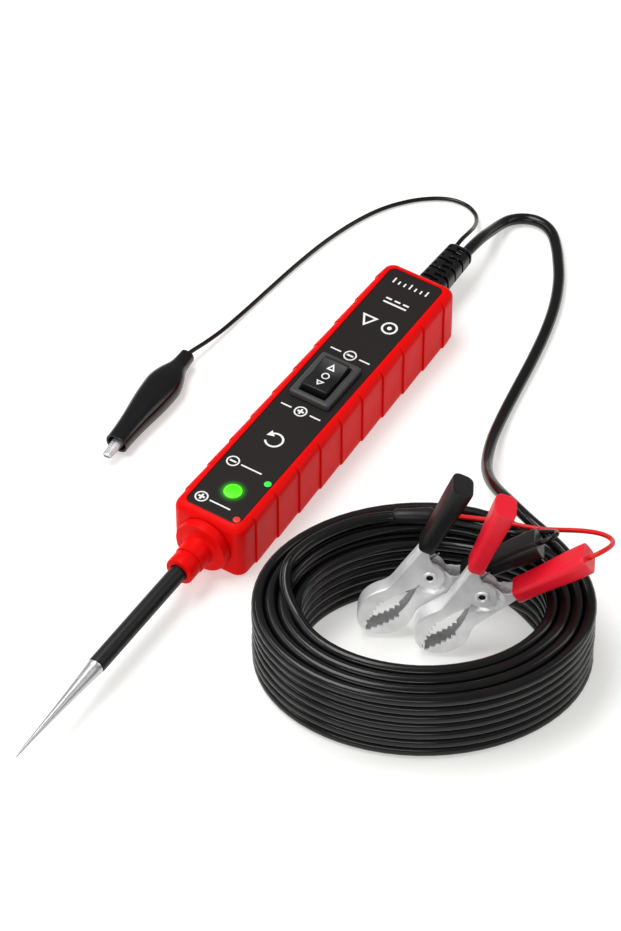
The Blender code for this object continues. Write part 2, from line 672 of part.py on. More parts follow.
def rocker():
    """The rocker, with its dished top, on two trunnions. Its origin is on the tilt axis."""
    half = SWITCH_BODY_LENGTH / 2 - SWITCH_WALL - 3.5 * RUNNING_GAP
    rim = ROCKER_DEPTH_BELOW_RIM
    end = rim + ROCKER_RISE
    outline = [(half, -0.0010), (half, end - 0.0004), (half - 0.0004, end), (half - 0.0016, end),
               (0.0008, rim + 0.0004), (-0.0008, rim + 0.0004), (0.0016 - half, end), (0.0004 - half, end),
               (-half, end - 0.0004), (-half, -0.0010), (-0.0030, -0.0026), (0.0030, -0.0026)]
    block = plate("rocker", outline, -ROCKER_WIDTH / 2, ROCKER_WIDTH / 2, BLACK_PLASTIC)
    join(block, cylinders("rocker_trunnions", [(0.0, 0.0)], TRUNNION_RADIUS, -SWITCH_BODY_WIDTH / 2,
                          SWITCH_BODY_WIDTH / 2, None, CUTTERS, sides=16))
    block.rotation_euler = (math.pi / 2, 0.0, 0.0)
    block.location = (from_front(SWITCH_FROM_FRONT), 0.0, pivot_height())
    trunnions = bpy.data.objects["rocker_trunnions"]
    trunnions.rotation_euler = block.rotation_euler
    trunnions.location = block.location
    return block


# Lamps, board and breaker inside

def lamps():
    finishes = {"main_lamp": LAMP_GREEN, "green_lamp": LAMP_GREEN, "red_lamp": LAMP_RED}
    foot = BOARD_UNDERSIDE + BOARD_THICKNESS + SEAT_GAP
    for name, x, y, radius in lamp_places():
        crown = PANEL_TOP + radius * 0.25
        profile = [(0.0, crown), (radius * 0.5, crown - radius * 0.06), (radius * 0.85, crown - radius * 0.2),
                   (radius, PANEL_TOP - radius * 0.1), (radius, foot), (0.0, foot)]
        lamp = turned(name, profile, finishes[name], steps=20)
        lamp.location = (x, y, 0.0)
        smooth(lamp)


def circuit_board():
    high_x = from_front(BOARD_FROM_FRONT)
    return box("circuit_board", (high_x - BOARD_LENGTH, -BOARD_WIDTH / 2, BOARD_UNDERSIDE),
               (high_x, BOARD_WIDTH / 2, BOARD_UNDERSIDE + BOARD_THICKNESS), BOARD_GREEN)


def trip_breaker():
    """The self-resetting breaker, a can that stands on the cover behind the switch."""
    high_x = from_front(BREAKER_FROM_FRONT)
    low = COVER_THICKNESS + SEAT_GAP
    can = box("trip_breaker", (high_x - BREAKER_LENGTH, -BREAKER_WIDTH / 2, low),
              (high_x, BREAKER_WIDTH / 2, low + BREAKER_HEIGHT), STEEL)
    return chamfer(can, 0.0006)


# Strain relief

def relief_stations():
    """(distance behind the rear wall, share of the taper, inset) of the strain relief's sections."""
    inner = -(BODY_WALL + SEAT_GAP)
    stations = [(inner - 0.0016, 0.0, -RELIEF_FLANGE), (inner, 0.0, -RELIEF_FLANGE),
                (inner, 0.0, RELIEF_NECK_INSET), (SEAT_GAP, 0.0, RELIEF_NECK_INSET),
                (SEAT_GAP, 0.0, 0.0)]
    pitch = (RELIEF_LENGTH - SEAT_GAP) / RELIEF_RING_COUNT
    for k in range(RELIEF_RING_COUNT):
        end = SEAT_GAP + (k + 1) * pitch
        share = (k + 1) / RELIEF_RING_COUNT
        if k < RELIEF_RING_COUNT - 1:
            stations += [(end - RELIEF_GROOVE, share, 0.0),
                         (end - RELIEF_GROOVE, share, RELIEF_GROOVE_DEPTH),
                         (end, share, RELIEF_GROOVE_DEPTH), (end, share, 0.0)]
        else:
            stations += [(end - 0.0008, share, 0.0), (end, share, 0.0006)]
    return stations


def strain_relief():
    """The moulded strain relief: a flange inside the wall, a neck through it and rings that bend."""
    rings = []
    for distance, share, inset in relief_stations():
        width = RELIEF_WIDTH + (RELIEF_END_WIDTH - RELIEF_WIDTH) * share - 2 * inset
        height = RELIEF_HEIGHT + (RELIEF_END_HEIGHT - RELIEF_HEIGHT) * share - 2 * inset
        outline = rounded_rectangle((-width / 2, -height / 2), (width / 2, height / 2), height * 0.28, 3)
        rings.append([(BODY_REAR - distance, y, AXIS_HEIGHT + z) for y, z in outline])
    return smooth(loft("strain_relief", rings, BLACK_PLASTIC), 30.0)


# Floor layout of the cords

def layout_frame():
    """An empty in which the cords' points are written: its origin is LAYOUT_RELIEF from the relief's end."""
    frame = bpy.data.objects.new("floor_layout", None)
    PARTS.objects.link(frame)
    turn = Matrix.Rotation(math.radians(LAYOUT_TURN), 4, "Z")
    relief_end = Matrix.Translation((BODY_REAR - RELIEF_LENGTH, 0.0, 0.0))
    frame.matrix_world = relief_end @ turn @ Matrix.Translation((-LAYOUT_RELIEF[0], -LAYOUT_RELIEF[1], 0.0))
    bpy.context.view_layer.update()
    return frame


def exit_point(offset, beyond=0.0):
    """A point past the strain relief's end, at a sideways offset, in the layout's own axes."""
    turn = math.radians(LAYOUT_TURN)
    out = SEAT_GAP + beyond
    return (LAYOUT_RELIEF[0] - out * math.cos(turn) + offset * math.sin(turn),
            LAYOUT_RELIEF[1] + out * math.sin(turn) + offset * math.cos(turn), AXIS_HEIGHT)


def coil_height():
    return COIL_LAYERS * CORD_DIAMETER


def main_cord(frame):
    """The black cord from the strain relief, down to the floor and up against the coil's top turn."""
    rest = CORD_DIAMETER / 2 + 0.0001
    top = coil_height() - CORD_DIAMETER / 2
    points = [
        exit_point(CORD_EXIT_OFFSET), exit_point(CORD_EXIT_OFFSET, 0.0020), (0.1537, 0.2148, 0.0103),
        (0.1566, 0.2198, 0.0087), (0.1598, 0.2256, 0.0060), (0.1630, 0.2312, 0.0036), (0.1664, 0.2357, 0.0023),
        (0.1707, 0.2382, rest), (0.1766, 0.2353, rest), (0.1805, 0.2275, rest), (0.1822, 0.2170, rest),
        (0.1820, 0.2055, rest), (0.1801, 0.1935, rest), (0.1765, 0.1810, rest), (0.1716, 0.1680, rest),
        (0.1661, 0.1550, rest), (0.1608, 0.1420, 0.0024), (0.1566, 0.1290, 0.0042),
        (0.1544, 0.1160, 0.0078), (0.1544, 0.1048, 0.0130), (0.1563, 0.0942, 0.0187),
        (0.1602, 0.0838, 0.0237), (0.16541, 0.07506, top)]
    return tube("main_cord", smooth_route(points, 24, square_start=True), CORD_DIAMETER, CORD_BLACK,
                parent=frame)


def coil_point(angle, inset):
    """A point of the coil's oval, moved inwards, at an angle in degrees of the oval's own parameter."""
    turn = math.radians(angle)
    across, away = math.cos(turn), math.sin(turn)
    outward = Vector((across / COIL_HALF_WIDTH, away / COIL_HALF_DEPTH)).normalized()
    return (COIL_HALF_WIDTH * across - outward.x * inset, COIL_HALF_DEPTH * away - outward.y * inset)


def cord_coil(frame):
    """The space that the coil's turns fill, as one oval ring."""
    ovals = [[coil_point(angle, inset) for angle in range(0, 360, 8)]
             for inset in (0.0, COIL_COLUMNS * CORD_DIAMETER)]
    ring = plate("cord_coil", ovals[0], 0.0, coil_height(), CORD_BLACK)
    hole = plate("coil_hole", ovals[1], -OVERCUT, coil_height() + OVERCUT, None, CUTTERS)
    for piece in (ring, hole):
        piece.location = (*COIL_CENTRE, 0.0)
        piece.parent = frame
    cut(ring, hole)
    return chamfer(ring, CORD_DIAMETER * 0.3, 1)


def cord_tail(frame):
    """The coil's last half turn, on top of the ring, up to the junction."""
    height = coil_height() + SEAT_GAP + CORD_DIAMETER / 2
    points = []
    for angle in (150, 140, 130, 120, 112):
        x, y = coil_point(angle, COIL_COLUMNS * CORD_DIAMETER / 2)
        points.append((COIL_CENTRE[0] + x, COIL_CENTRE[1] + y, height))
    points.append((JUNCTION_START[0] - 0.0020, JUNCTION_START[1], height))
    points.append((JUNCTION_START[0] - SEAT_GAP, JUNCTION_START[1], height))
    return tube("cord_tail", smooth_route(points, 10, square_end=True), CORD_DIAMETER, CORD_BLACK,
                parent=frame)


JUNCTION_START = (0.1226, 0.0722)
JUNCTION_LENGTH = 0.0130
JUNCTION_RADIUS = 0.0024


def lead_junction(frame):
    """The moulded block where the cord splits into the two clamp leads."""
    height = coil_height() + SEAT_GAP + JUNCTION_RADIUS
    rings = []
    for share, width in ((0.0, 0.85), (0.06, 1.0), (0.6, 1.05), (0.94, 1.15), (1.0, 1.0)):
        half = JUNCTION_RADIUS * width
        tall = min(half, JUNCTION_RADIUS)
        outline = rounded_rectangle((-half, -tall), (half, tall), tall * 0.8, 3)
        rings.append([(JUNCTION_START[0] + JUNCTION_LENGTH * share, JUNCTION_START[1] + y, height + z)
                      for y, z in outline])
    block = loft("lead_junction", rings, BLACK_PLASTIC)
    block.parent = frame
    return smooth(block)


# Battery clamps

def handle_axis(distance, offset):
    """A point beside the upper handle's centre line, in the clamp's own axes."""
    slope = math.radians(HANDLE_SLOPE)
    along = (-math.cos(slope), math.sin(slope))
    across = (math.sin(slope), math.cos(slope))
    return (HANDLE_ROOT[0] + along[0] * distance + across[0] * offset,
            HANDLE_ROOT[1] + along[1] * distance + across[1] * offset)


def clamp_web():
    """The pressed half's back, from the handle's end, over the bulge of the jaw, to the nose."""
    half = HANDLE_HEIGHT / 2
    nose = CLAMP_NOSE
    return [handle_axis(HANDLE_LENGTH, half), handle_axis(0.0, half),
            (nose - 0.0200, 0.0064), (nose - 0.0180, 0.0063), (nose - 0.0162, 0.0067),
            (nose - 0.0140, 0.0076), (nose - 0.0110, 0.0083), (nose - 0.0080, 0.0081),
            (nose - 0.0050, 0.0069), (nose - 0.0025, 0.0049), (nose - 0.0007, 0.0025),
            (nose, RUNNING_GAP / 2)]


def jaw_edge():
    """The jaw's toothed mouth, from the nose back to the lug round the rivet."""
    start = CLAMP_NOSE - 0.0010
    stop = LUG_RADIUS + 0.0014

    def bow(a):
        return RUNNING_GAP / 2 + JAW_BOW * math.sin(math.pi * min(max((start - a) / (start - stop), 0.0), 1.0))

    points = []
    for k in range(TOOTH_COUNT):
        a = start - k * TOOTH_PITCH
        points.append((a, bow(a)))
        points.append((a - 0.35 * TOOTH_PITCH, bow(a) + TOOTH_DEPTH))
        points.append((a - 0.65 * TOOTH_PITCH, bow(a) + TOOTH_DEPTH))
    end = start - TOOTH_COUNT * TOOTH_PITCH
    for k in range(5):
        a = end + (stop - end) * k / 4
        points.append((a, bow(a)))
    return points


def clamp_outline():
    """One half's side view: web, mouth, lug round the rivet, and the cheek's hollow up to the handle."""
    half = HANDLE_HEIGHT / 2
    outline = clamp_web() + jaw_edge()
    outline += arc((0.0, 0.0), LUG_RADIUS, 6, -205, 12)
    foot = handle_axis(0.0012, -half)
    outline += [(-0.0046, 0.0036), (-0.0053, 0.0052), foot]
    outline.append(handle_axis(HANDLE_LENGTH, -half))
    return outline


def inner_region():
    """The channel's hollow: the web moved inwards by the sheet, and open on the other side."""
    web = offset_line(clamp_web(), -CLAMP_SHEET)
    far = handle_axis(HANDLE_LENGTH + 0.005, HANDLE_HEIGHT / 2 - CLAMP_SHEET)
    return [far] + web + [(web[-1][0], -0.020), (far[0], -0.020)]


def mirrored(outline):
    return [(x, -y) for x, y in reversed(outline)]


def clamp_half(name, lower, frame):
    """A channel of pressed sheet. The lower half is narrowed round the rivet, to sit inside the upper."""
    side = mirrored if lower else list
    half = plate(name, side(clamp_outline()), -CLAMP_DEPTH / 2, CLAMP_DEPTH / 2, NICKEL)
    wide = CLAMP_DEPTH / 2 - CLAMP_SHEET
    hollow = plate(name + "_hollow", side(inner_region()), -wide, wide, None, CUTTERS)
    made = [half, hollow]
    if lower:
        narrow = wide - RUNNING_GAP
        outer_turn = LUG_RADIUS + 2 * RUNNING_GAP
        keep = cylinders(name + "_keep", [(0.0, 0.0)], outer_turn + CLAMP_SHEET, -CLAMP_DEPTH, CLAMP_DEPTH,
                         None, CUTTERS, sides=24)
        cut(hollow, keep)
        for sign in (-1, 1):
            low, high = sorted((sign * narrow, sign * CLAMP_DEPTH))
            flank = cylinders(name + "_flank_%d" % (sign + 1), [(0.0, 0.0)], outer_turn, low, high, None,
                              CUTTERS, sides=24)
            cut(half, flank)
            made.append(flank)
        inner = plate(name + "_throat", side(inner_region()), CLAMP_SHEET - narrow, narrow - CLAMP_SHEET,
                      None, CUTTERS)
        cut(half, inner)
        made += [keep, inner]
    cut(half, hollow)
    bore = cylinders(name + "_bore", [(0.0, 0.0)], CLAMP_RIVET_RADIUS + RUNNING_GAP, -CLAMP_DEPTH,
                     CLAMP_DEPTH, None, CUTTERS, sides=16)
    cut(half, bore)
    for piece in made + [bore]:
        piece.parent = frame
    return half


def clamp_rivet(name, frame):
    """A hollow rivet with a rolled head on each side."""
    inner = CLAMP_DEPTH / 2 + SEAT_GAP
    outer = inner + 0.0005
    edge = 0.0002
    profile = [(CLAMP_RIVET_BORE, outer), (CLAMP_RIVET_HEAD - edge, outer), (CLAMP_RIVET_HEAD, outer - edge),
               (CLAMP_RIVET_HEAD, inner), (CLAMP_RIVET_RADIUS, inner), (CLAMP_RIVET_RADIUS, -inner),
               (CLAMP_RIVET_HEAD, -inner), (CLAMP_RIVET_HEAD, edge - outer), (CLAMP_RIVET_HEAD - edge, -outer),
               (CLAMP_RIVET_BORE, -outer)]
    rivet = turned(name, profile, NICKEL, steps=16, closed=True)
    rivet.parent = frame
    return smooth(rivet)


def clamp_spring(name, frame):
    """A torsion spring round the rivet: a few turns, with a leg into each handle."""
    radius = CLAMP_RIVET_RADIUS + RUNNING_GAP + SPRING_WIRE / 2
    pitch = SPRING_WIRE * 1.12
    steps = int(SPRING_TURNS * 12)
    start = math.radians(60.0)
    width = pitch * SPRING_TURNS
    points = [(-0.0078, 0.0034, -width / 2)]
    for i in range(steps + 1):
        angle = start + 2 * math.pi * SPRING_TURNS * i / steps
        points.append((radius * math.cos(angle), radius * math.sin(angle), -width / 2 + width * i / steps))
    last = Vector(points[-1])
    out = Vector((-math.sin(start + 2 * math.pi * SPRING_TURNS), math.cos(start + 2 * math.pi * SPRING_TURNS), 0.0))
    points.append(tuple(last + out * 0.0055))
    spring = tube(name, [Vector(p) for p in points], SPRING_WIRE, STEEL, resolution=1, parent=frame)
    return smooth(spring)


def clamp_grip(name, lower, finish, frame):
    """The dipped vinyl sleeve on a handle, with a wider far end."""
    high = HANDLE_HEIGHT / 2 + SEAT_GAP + GRIP_WALL
    deep = CLAMP_DEPTH / 2 + SEAT_GAP + GRIP_WALL
    end = HANDLE_LENGTH + SEAT_GAP + GRIP_END_WALL
    sign = -1 if lower else 1
    rings = []
    stations = ((GRIP_START, 0.0), (GRIP_START + 0.30 * (end - GRIP_START), 0.0), (0.62 * end, 0.35),
                (0.85 * end, 0.85), (end - 0.0007, 1.0), (end, 0.3))
    for distance, share in stations:
        grow = GRIP_END_FLARE * share
        outline = rounded_rectangle((-high - grow, -deep - grow), (high + grow, deep + grow), 0.0014, 3)
        ring = []
        for offset, n in outline:
            x, y = handle_axis(distance, offset)
            ring.append((x, sign * y, n))
        rings.append(ring)
    grip = loft(name, rings, finish)
    hole = HANDLE_HEIGHT / 2 + SEAT_GAP
    wide = CLAMP_DEPTH / 2 + SEAT_GAP
    socket_rings = []
    for distance in (GRIP_START - 0.002, HANDLE_LENGTH + SEAT_GAP):
        ring = []
        for offset, n in ((hole, wide), (-hole, wide), (-hole, -wide), (hole, -wide)):
            x, y = handle_axis(distance, offset)
            ring.append((x, sign * y, n))
        socket_rings.append(ring)
    socket = loft(name + "_socket", socket_rings, None, CUTTERS)
    cut(grip, socket)
    grip.parent = frame
    socket.parent = frame
    return smooth(grip)


def clamp_frame(name, layout, place, heading, pitch, roll):
    """An empty on the rivet: X to the nose, Y to the upper handle, Z along the rivet."""
    frame = bpy.data.objects.new(name, None)
    PARTS.objects.link(frame)
    frame.location = place
    frame.rotation_euler = (math.radians(90.0 - roll), math.radians(pitch), math.radians(heading))
    frame.parent = layout
    return frame


CLAMP_POSES = {
    "black": ((0.13400, 0.05375, 0.02460), 186.7, 47.15, -13.5),
    "red": ((0.15005, 0.04433, 0.02640), 182.8, 53.2, -9.9),
}


def battery_clamp(colour, finish, layout):
    place, heading, pitch, roll = CLAMP_POSES[colour]
    frame = clamp_frame(colour + "_clamp_frame", layout, place, heading, pitch, roll)
    clamp_half(colour + "_upper_jaw", False, frame)
    clamp_half(colour + "_lower_jaw", True, frame)
    clamp_rivet(colour + "_clamp_rivet", frame)
    clamp_spring(colour + "_clamp_spring", frame)
    clamp_grip(colour + "_upper_grip", False, finish, frame)
    clamp_grip(colour + "_lower_grip", True, finish, frame)
    return frame


def grip_end(layout, frame):
    """The middle of the lower grip's far end, in the layout's axes, and the way that it faces."""
    bpy.context.view_layer.update()
    to_layout = layout.matrix_world.inverted() @ frame.matrix_world
    end = HANDLE_LENGTH + SEAT_GAP + GRIP_END_WALL
    near = handle_axis(end + SEAT_GAP, 0.0)
    far = handle_axis(end + 0.0045, 0.0)
    return (to_layout @ Vector((near[0], -near[1], 0.0)), to_layout @ Vector((far[0], -far[1], 0.0)))


def clamp_leads(layout, frames):
    """The black and the red lead, from the junction over the coil's top into the lower grips."""
    exit_x = JUNCTION_START[0] + JUNCTION_LENGTH + SEAT_GAP
    height = coil_height() + SEAT_GAP + JUNCTION_RADIUS
    low = coil_height() + SEAT_GAP + CLAMP_LEAD_DIAMETER / 2
    spread = JUNCTION_RADIUS / 2
    routes = {
        "black": ((exit_x, JUNCTION_START[1] - spread, height), (exit_x + 0.0012, JUNCTION_START[1] - spread, height),
                  (0.1400, 0.0708, 0.0292), (0.1450, 0.0698, low),
                  (0.1500, 0.0686, low), (0.1562, 0.0671, low), (0.1625, 0.0651, 0.0294),
                  (0.1682, 0.0629, 0.0324), (0.1720, 0.0600, 0.0360), (0.1738, 0.0570, 0.0386)),
        "red": ((exit_x, JUNCTION_START[1] + spread, height), (exit_x + 0.0012, JUNCTION_START[1] + spread, height),
                (0.1400, 0.0733, 0.0292), (0.1460, 0.0729, low),
                (0.1540, 0.0717, low), (0.1620, 0.0695, low), (0.1690, 0.0672, 0.0290), (0.1760, 0.0648, 0.0313),
                (0.1830, 0.0614, 0.0345), (0.1884, 0.0566, 0.0380), (0.1906, 0.0513, 0.0404)),
    }
    for colour, finish in (("black", CORD_BLACK), ("red", LEAD_RED)):
        end, before = grip_end(layout, frames[colour])
        points = list(routes[colour]) + [tuple(before), tuple(end)]
        tube(colour + "_lead", smooth_route(points, 15, True, True), CLAMP_LEAD_DIAMETER, finish,
             parent=layout)


# Ground lead and clip

BOOT_NECK = (0.0565, 0.1680)
BOOT_HEADING = -119.5
BOOT_SECTIONS = ((0.0, 0.0050, 0.0050), (0.0035, 0.0054, 0.0052), (0.0065, 0.0064, 0.0058),
                 (0.0105, 0.0098, 0.0074), (0.0145, 0.0120, 0.0084), (0.0180, 0.0123, 0.0086),
                 (0.0250, 0.0114, 0.0082), (0.0340, 0.0092, 0.0072), (0.0410, 0.0080, 0.0066),
                 (0.0460, 0.0077, 0.0064))


def boot_height():
    return max(height for start, width, height in BOOT_SECTIONS) / 2


def clip_frame(layout):
    """An empty at the boot's neck: X to the jaws' tips, Y sideways on the floor."""
    frame = bpy.data.objects.new("ground_clip_frame", None)
    PARTS.objects.link(frame)
    frame.location = (*BOOT_NECK, boot_height())
    frame.rotation_euler = (0.0, 0.0, math.radians(BOOT_HEADING))
    frame.parent = layout
    return frame


def ellipse(width, height, steps=18):
    """A rounded section, squarer than an ellipse."""
    points = []
    for i in range(steps):
        angle = 2 * math.pi * i / steps
        c, s = math.cos(angle), math.sin(angle)
        points.append((width / 2 * math.copysign(abs(c) ** 0.7, c), height / 2 * math.copysign(abs(s) ** 0.7, s)))
    return points


def ground_boot(frame):
    """The soft insulating boot, open at its mouth and closed round the lead at its neck."""
    scale = BOOT_LENGTH / BOOT_SECTIONS[-1][0]
    rings = [[(start * scale, y, z) for y, z in ellipse(width, height)] for start, width, height in BOOT_SECTIONS]
    boot = loft("ground_boot", rings, BLACK_PLASTIC)
    inside = [[(start * scale, y, z) for y, z in ellipse(width - 2 * BOOT_WALL, height - 2 * BOOT_WALL)]
              for start, width, height in BOOT_SECTIONS[1:]]
    last = inside[-1]
    inside.append([(BOOT_LENGTH + 0.002, y, z) for x, y, z in last])
    hollow = loft("boot_hollow", inside, None, CUTTERS)
    cut(boot, hollow)
    boot.parent = frame
    hollow.parent = frame
    return smooth(boot)


def clip_outline():
    """One half of the small clip: jaw, lug and handle, in the clip's own axes about its rivet."""
    gap = RUNNING_GAP / 2
    tip = CLIP_JAW_REACH
    outline = [(tip, gap), (tip, 0.0009), (tip - 0.0008, CLIP_JAW_HEIGHT), (tip * 0.6, CLIP_JAW_HEIGHT),
               (0.0040, 0.0022), (-0.0020, 0.0026), (-CLIP_HANDLE_REACH, 0.0042),
               (-CLIP_HANDLE_REACH, 0.0034), (-0.0020, 0.0011)]
    outline += arc((0.0, 0.0), 0.0013, 140, 345, 8)
    outline += [(0.0030, gap + 0.0006), (tip * 0.6, gap + 0.0007)]
    for k in range(5):
        a = tip - 0.0062 + k * 0.0012
        rise = 0.0002 * math.sin(math.pi * (k + 1) / 6)
        outline += [(a, gap + rise), (a + 0.0006, gap + 0.0003 + 1.5 * rise)]
    return outline


def ground_jaws(frame):
    """The two pressed halves, the lower nested in the upper, and the rivet that joins them."""
    pivot = (BOOT_LENGTH + BOOT_JAW_SHOW - CLIP_JAW_REACH, 0.0, 0.0)
    pieces = []
    for name, lower, width in (("ground_jaw_upper", False, CLIP_WIDTH),
                               ("ground_jaw_lower", True, CLIP_WIDTH - 2 * CLIP_SHEET - 2 * RUNNING_GAP)):
        side = mirrored if lower else list
        jaw = plate(name, side(clip_outline()), -width / 2, width / 2, NICKEL)
        back = [(CLIP_JAW_REACH - CLIP_SHEET, -0.01), (CLIP_JAW_REACH - CLIP_SHEET, 0.0009 - CLIP_SHEET),
                (CLIP_JAW_REACH - 0.0008, CLIP_JAW_HEIGHT - CLIP_SHEET),
                (CLIP_JAW_REACH * 0.6, CLIP_JAW_HEIGHT - CLIP_SHEET), (0.0040, 0.0022 - CLIP_SHEET),
                (-0.0020, 0.0026 - CLIP_SHEET), (-CLIP_HANDLE_REACH - 0.001, 0.0039), (-0.0120, -0.01)]
        deep = width / 2 - CLIP_SHEET
        hollow = plate(name + "_hollow", side(back), -deep, deep, None, CUTTERS)
        cut(jaw, hollow)
        bore = cylinders(name + "_bore", [(0.0, 0.0)], CLIP_RIVET_RADIUS + SEAT_GAP, -0.003, 0.003, None,
                         CUTTERS, sides=12)
        cut(jaw, bore)
        pieces += [jaw, hollow, bore]
    reach = CLIP_WIDTH / 2 + SEAT_GAP
    head = CLIP_RIVET_RADIUS * 2
    profile = [(0.0, reach + 0.0004), (head, reach + 0.0004), (head, reach), (CLIP_RIVET_RADIUS, reach),
               (CLIP_RIVET_RADIUS, -reach), (head, -reach), (head, -reach - 0.0004), (0.0, -reach - 0.0004)]
    pieces.append(turned("ground_rivet", profile, NICKEL, steps=12))
    for piece in pieces:
        piece.location = pivot
        piece.parent = frame


def ground_lead(layout, frame):
    """The thin lead from the strain relief, in a wide bend over the floor, to the boot's neck."""
    low = GROUND_LEAD_DIAMETER / 2 + 0.0001
    bpy.context.view_layer.update()
    to_layout = layout.matrix_world.inverted() @ frame.matrix_world
    end = to_layout @ Vector((-SEAT_GAP, 0.0, 0.0))
    before = to_layout @ Vector((-0.0020, 0.0, 0.0))
    points = [
        exit_point(GROUND_EXIT_OFFSET), exit_point(GROUND_EXIT_OFFSET, 0.0015), (0.1494, 0.2171, 0.0104),
        (0.1520, 0.2222, 0.0086), (0.1540, 0.2280, 0.0056), (0.1550, 0.2338, 0.0029), (0.1546, 0.2390, 0.0013),
        (0.1519, 0.2435, low), (0.1467, 0.2464, low), (0.1400, 0.2470, low), (0.1318, 0.2456, low),
        (0.1225, 0.2418, low), (0.1130, 0.2352, low), (0.1034, 0.2263, low), (0.0939, 0.2156, low),
        (0.0846, 0.2040, low), (0.0757, 0.1925, 0.0010), (0.0680, 0.1822, 0.0020),
        (0.0626, 0.1755, 0.0032), tuple(before), tuple(end)]
    return tube("ground_lead", smooth_route(points, 34, True, True), GROUND_LEAD_DIAMETER, CORD_BLACK,
                parent=layout)


def build():
    housing()
    bottom_cover()
    cover_screws()
    face_panel()
    probe()
    switch_frame()
    switch_terminals()
    rocker()
    lamps()
    circuit_board()
    trip_breaker()
    strain_relief()
    layout = layout_frame()
    main_cord(layout)
    cord_coil(layout)
    cord_tail(layout)
    lead_junction(layout)
    frames = {"black": battery_clamp("black", BLACK_PLASTIC, layout),
              "red": battery_clamp("red", VINYL_RED, layout)}
    clamp_leads(layout, frames)
    clip = clip_frame(layout)
    ground_boot(clip)
    ground_jaws(clip)
    ground_lead(layout, clip)


build()
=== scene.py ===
"""An automotive test light, dressed for its picture.

A ribbed red handle with a black face and a steel probe, a wound black cord that ends in two battery
clamps, and a thin ground lead with a booted clip. Sizes are in metres.
"""

import math
from functools import reduce
from operator import add

import bpy
import numpy as np
from mathutils import Euler, Matrix, Vector


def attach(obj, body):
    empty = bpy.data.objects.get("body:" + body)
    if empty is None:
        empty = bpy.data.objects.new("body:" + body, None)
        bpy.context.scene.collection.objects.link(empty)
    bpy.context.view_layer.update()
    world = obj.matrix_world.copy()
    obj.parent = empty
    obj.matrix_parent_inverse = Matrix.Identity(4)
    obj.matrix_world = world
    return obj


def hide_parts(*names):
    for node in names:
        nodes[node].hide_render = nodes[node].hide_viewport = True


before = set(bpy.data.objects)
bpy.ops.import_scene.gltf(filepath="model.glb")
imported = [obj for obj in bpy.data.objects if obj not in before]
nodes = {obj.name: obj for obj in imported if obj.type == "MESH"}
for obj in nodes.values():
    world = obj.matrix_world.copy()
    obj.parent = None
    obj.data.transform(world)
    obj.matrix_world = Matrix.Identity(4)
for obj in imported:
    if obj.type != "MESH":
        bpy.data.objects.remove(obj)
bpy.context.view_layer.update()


# Camera, table and light
# The part lies on a white table and is seen from above through a long lens, at 47 degrees.
# Large soft boxes and a pale room light it.

TABLE_TURN = math.radians(123.0)
RELIEF_TIP = (0.1488, 0.2101)
RELIEF_TIP_X = -0.13025
VIEW_HEIGHT = 0.3040
CAMERA_AWAY = 1.4
CAMERA_UP = math.radians(47.1)
CAMERA_ROUND = math.radians(-0.36)
AIM_RIGHT, AIM_AWAY = 0.09720, 0.12187
SENSOR = 36.0


def swung(angle, x, y):
    """Two level coordinates, turned about their zero."""
    cosine, sine = math.cos(angle), math.sin(angle)
    return cosine * x - sine * y, sine * x + cosine * y


def on_table(points):
    """Points written as (to the picture's right, away from the camera, up), turned into the part's axes.

    They are measured from the corner of the layout and turned about the strain relief's end.
    """
    right, away, up = np.moveaxis(np.asarray(points, float), -1, 0)
    x, y = swung(TABLE_TURN, right - RELIEF_TIP[0], away - RELIEF_TIP[1])
    return np.stack([x + RELIEF_TIP_X, y, up], -1)


aim = Vector(on_table((AIM_RIGHT, AIM_AWAY, 0.0)))
level = CAMERA_AWAY * math.cos(CAMERA_UP)
above = Vector(on_table((AIM_RIGHT + level * math.sin(CAMERA_ROUND),
                         AIM_AWAY - level * math.cos(CAMERA_ROUND), CAMERA_AWAY * math.sin(CAMERA_UP))))
camera = bpy.data.objects.new("camera", bpy.data.cameras.new("camera"))
bpy.context.collection.objects.link(camera)
camera.location = above
camera.rotation_euler = (aim - above).to_track_quat("-Z", "Y").to_euler()
camera.data.sensor_width = SENSOR
camera.data.lens = SENSOR * CAMERA_AWAY / VIEW_HEIGHT
bpy.context.scene.camera = camera
bpy.context.scene.view_settings.view_transform = "Standard"


